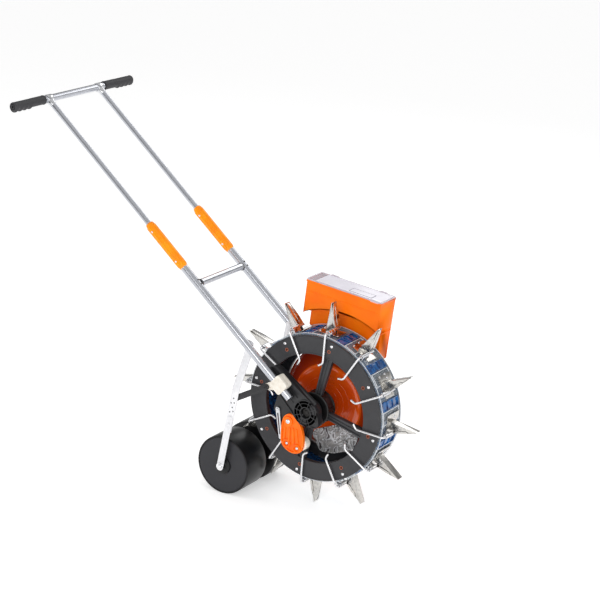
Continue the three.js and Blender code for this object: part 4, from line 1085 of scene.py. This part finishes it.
bm = bmesh.new()
HALF_LID = 116
lid = rounded(rect(-HALF_LID, HALF_LID, 33.2, 109.4), 5, 5)
lay = HOPPER @ Matrix(((1, 0, 0, 0), (0, 0, 1, 0), (0, 1, 0, 0), (0, 0, 0, 1)))
prism(bm, lid, 0.5, 2.3, m=lay)
prism(bm, lid, 2.2, 3.2, holes=[offset(lid, 4)[::-1]], m=lay)
prism(bm, rounded(rect(84, 108, 27.4, 36), 3, 4), 0.5, 3.2, m=lay)
for x in (-76, 76):
    block(bm, x - 9, x + 9, 108.6, 115, 0.5, 3.2, m=HOPPER)
    sweep(bm, [HOPPER @ Vector((x + reach, 115.1, 0)) for reach in (-9, 9)], 3.5, 20, dome=False)
    sweep(bm, [HOPPER @ Vector((x + reach, 115.1, 0)) for reach in (-13.4, 13.4)], 1.9, 14)
part("lid_sheet", bm, LID, "lid", "clear_plastic", ["hopper_lid"], 0.4, 2, 35)
LABEL = material("label_sheet", rgb(244, 240, 250), 0.3, vary=0.03, scale=40, coat=0.4, specular=0.3)
LABEL_LINE = material("label_line", rgb(62, 60, 92), 0.4)
bm = bmesh.new()
prism(bm, rounded(rect(-90, 111, 38.5, 105), 3, 4), 2.35, 2.6, m=lay)
part("lid_label", bm, LABEL, "lid", "clear_plastic")
bm = bmesh.new()
for x0, x1, y0, y1 in ((8, 78, 45, 46.8), (76.2, 78, 45, 72), (8, 9, 45, 72), (8, 78, 71.2, 72)):
    prism(bm, rect(x0, x1, y0, y1), 2.5, 2.75, m=lay)
part("lid_label_line", bm, LABEL_LINE, "lid", "clear_plastic")

# ---------------------------------------------------------------- press drum, its arms and strut
DRUM = at(DRUM_X, 0, DRUM_Z)
ARM_Y, TOP_Y = -120.3, -97.7          # outer face of the drum arm, low and high
top_x, top_z = on_handle(236)


def on_arm(share):
    """The (x, z) of a point on the drum arm, from 0 at the drum's axle to 1 at the top bolt."""
    return (DRUM_X + (top_x - DRUM_X) * share, DRUM_Z + (top_z - DRUM_Z) * share)


def drum_arm(name, side):
    """A flat lower bar bolted over a wider upper bar, which leans inward to pass inside the tube."""
    bm = bmesh.new()
    holes = [circle(*on_arm(0.0), 7.3, 28)[::-1], circle(*on_arm(0.36), 3.0, 18)[::-1]]
    lower = hull([(*on_arm(0.0), 10.2), (*on_arm(0.40), 10.2)])
    prism(bm, lower, ARM_Y - 4, ARM_Y - 2.1, holes=holes)
    low, high = Vector(on_arm(0.0)), Vector(on_arm(1.0))
    run = (high - low).normalized()
    across = Vector((-run.y, run.x)) * 11.3
    rings = []
    for share in (0.29, 0.30, 0.62, 0.66, 0.90, 0.94, 1.02, 1.03):
        lean = min(1.0, max(0.0, (share - 0.62) / 0.3))
        lean = lean * lean * (3 - 2 * lean)
        y = ARM_Y - 2 + (TOP_Y - ARM_Y + 2) * lean
        narrow = 0.7 if share in (0.29, 1.03) else 1.0
        c = Vector(on_arm(share))
        a, b = c + across * narrow, c - across * narrow
        rings.append([(a.x, y, a.y), (b.x, y, b.y), (b.x, y + 1.9, b.y), (a.x, y + 1.9, a.y)])
    loft(bm, rings)
    return mesh_of(name, bm, WHITE, 0.35, 2, 35, mirror=side > 0)


def arm_bolts(name, side):
    """The axle's bolt head and the screw that holds the arm's two bars together."""
    bm = bmesh.new()
    bolt_head(bm, 7.2, 5.2, at(DRUM_X, ARM_Y - 4.2, DRUM_Z) @ FLIP)
    x, z = on_arm(0.36)
    screw_head(bm, 3.4, 2.0, at(x + 1, ARM_Y - 4, z) @ FLIP, 18)
    return mesh_of(name, bm, SCREW, mirror=side > 0)


def arm_hole_shades(name, side):
    """Dark blind dimples for the adjusting holes: painted shade standing in for the dark inside each
    hole.
    """
    bm = bmesh.new()
    for share, across in ((0.46, -4.5), (0.47, 5.5), (0.50, 0.5), (0.535, -5.5), (0.54, 4.0),
                          (0.575, -0.5)):
        x, z = on_arm(share)
        turned(bm, [(2.0, -0.4), (2.0, 0.12), (1.3, 0.12)], 14, m=at(x + across, ARM_Y - 2, z) @ FLIP)
    return mesh_of(name, bm, STRUT_PAINT_AND_HOLE_SHADE, mirror=side > 0)


for label, side in SIDES:
    piece(f"press_arm_{label}", drum_arm(f"press_arm_{label}", side), "frame",
          [f"drum_arm_{label}"])
    piece(f"press_arm_bolts_{label}", arm_bolts(f"press_arm_bolts_{label}", side), "frame",
          [f"drum_arm_{label}", "drum_axle"])
    piece(f"press_arm_holes_{label}", arm_hole_shades(f"press_arm_holes_{label}", side), "frame",
          [f"drum_arm_{label}"])
bm = bmesh.new()
sweep(bm, [(DRUM_X, -129, DRUM_Z), (DRUM_X, 129, DRUM_Z)], 6.5, 32)
part("press_axle", bm, STEEL, "frame", "steel", ["drum_axle"])

for label, side in SIDES:
    bm = bmesh.new()
    lathe(bm, [(24.3, -20), (79.5, -20), (81.4, -21), (82, -23), (82, -107), (81.2, -109.4), (79, -110),
               (77.4, -109.6), (76.8, -107), (24.3, -107)], 144, m=DRUM)
    part(f"press_half_{label}", bm, DRUM_SIDE, "drum", "drum_plastic", [f"drum_half_{label}"],
         mirror=side > 0)
    bm = bmesh.new()
    lathe(bm, [(24.5, -106.8), (24.5, -109), (28, -109.4), (76.2, -109.4), (76.7, -108.8),
               (76.7, -106.8)], 96, m=DRUM)
    part(f"press_face_{label}", bm, DRUM_FACE, "drum", "drum_plastic", [f"drum_half_{label}"],
         mirror=side > 0)
bm = bmesh.new()
lathe(bm, [(7.7, -115.8), (13, -115.8), (14, -113), (23.8, -112), (23.8, 112), (14, 113), (13, 115.8),
           (7.7, 115.8)], 64, m=DRUM)
part("press_core", bm, DRUM_SIDE, "drum", "drum_plastic", ["drum_core"], 0.4)

bm = bmesh.new()
fx, fz = on_handle(120, -31)
gx, gz = on_arm(0.57)
strut_outline = hull([(fx, fz, 8.3), (gx, gz, 8.3)])
prism(bm, strut_outline, -119.9, -114.2)
prism(bm, hull([(fx, fz, 4.2), (gx, gz, 4.2)]), -120.0, -119.2)
screw_head(bm, 4.6, 2.6, at(fx, -119.9, fz) @ FLIP)
part("strut_bar", bm, STRUT_PAINT_AND_HOLE_SHADE, "frame", "strut_black", ["drum_strut"], 0.5)

# ---------------------------------------------------------------- floor, light and camera
floor_mat = bpy.data.materials.new("floor_pale")
floor_mat.use_nodes = True
floor_shader = floor_mat.node_tree.nodes["Principled BSDF"]
put(floor_shader, "Base Color", (0.92, 0.92, 0.92, 1))
put(floor_shader, "Roughness", 0.7)
put(floor_shader, "Emission Color", (1, 1, 1, 1))
put(floor_shader, "Emission Strength", 0.42)
bpy.ops.mesh.primitive_plane_add(size=60, location=(0, 0, 0))
floor = bpy.context.object
floor.name = "floor"
floor.data.materials.append(floor_mat)


def area_light(name, place, aim, size, power):
    data = bpy.data.lights.new(name, "AREA")
    data.shape = "RECTANGLE"
    data.size, data.size_y = size
    data.energy = power
    obj = bpy.data.objects.new(name, data)
    bpy.context.scene.collection.objects.link(obj)
    obj.location = place
    obj.rotation_euler = (Vector(aim) - Vector(place)).to_track_quat("-Z", "Y").to_euler()


area_light("key", (1.4, -3.6, 1.7), (0.1, 0, 0.4), (2.2, 1.8), 50)
area_light("fill", (3.4, -1.0, 1.5), (0.2, 0, 0.4), (1.0, 2.0), 20)
area_light("side", (-3.0, -1.0, 1.6), (0, 0, 0.4), (0.8, 2.4), 18)
area_light("back", (0.2, 3.0, 2.6), (0, 0, 0.4), (3.0, 1.2), 26)

world = bpy.data.worlds.new("studio")
world.use_nodes = True
bpy.context.scene.world = world
sky_nodes, sky_links = world.node_tree.nodes, world.node_tree.links
background = sky_nodes["Background"]
sky_coords = sky_nodes.new("ShaderNodeTexCoord")
sky_split = sky_nodes.new("ShaderNodeSeparateXYZ")
sky_ramp = sky_nodes.new("ShaderNodeValToRGB")
SKY = ((0.0, 1.0), (0.10, 0.92), (0.22, 0.42), (0.42, 0.30), (0.62, 0.62), (0.8, 0.9), (1.0, 0.95))
stops = sky_ramp.color_ramp.elements
stops[0].position, stops[0].color = 0.0, (SKY[0][1],) * 3 + (1,)
stops[1].position, stops[1].color = 1.0, (SKY[-1][1],) * 3 + (1,)
for place, value in SKY[1:-1]:
    stops.new(place).color = (value, value, value, 1)
sky_links.new(sky_coords.outputs["Generated"], sky_split.inputs["Vector"])
sky_links.new(sky_split.outputs["Z"], sky_ramp.inputs["Fac"])
sky_links.new(sky_ramp.outputs["Color"], background.inputs["Color"])
put(background, "Strength", 0.85)
bpy.context.scene.view_settings.view_transform = "Standard"

LENS = 113.73
STAND = Vector((2.42323, -4.04705, 1.76935))   # the camera's place from the wheel's centre, metres
camera_data = bpy.data.cameras.new("camera")
camera_data.sensor_width = 36
camera_data.lens = LENS
camera_data.clip_end = 100
camera = bpy.data.objects.new("camera", camera_data)
bpy.context.scene.collection.objects.link(camera)
AZIMUTH, ELEVATION, ROLL = math.radians(31.82), math.radians(17.48), math.radians(1.91)
forward = Vector((-math.sin(AZIMUTH) * math.cos(ELEVATION), math.cos(AZIMUTH) * math.cos(ELEVATION),
                  -math.sin(ELEVATION)))
level = Vector((math.cos(AZIMUTH), math.sin(AZIMUTH), 0))
upward = level.cross(forward)
camera_x = level * math.cos(ROLL) + upward * math.sin(ROLL)
camera_y = -level * math.sin(ROLL) + upward * math.cos(ROLL)
pose = Matrix.Identity(4)
for row in range(3):
    pose[row][0], pose[row][1], pose[row][2] = camera_x[row], camera_y[row], -forward[row]
pose.translation = STAND + CENTRE
camera.matrix_world = pose
bpy.context.scene.camera = camera
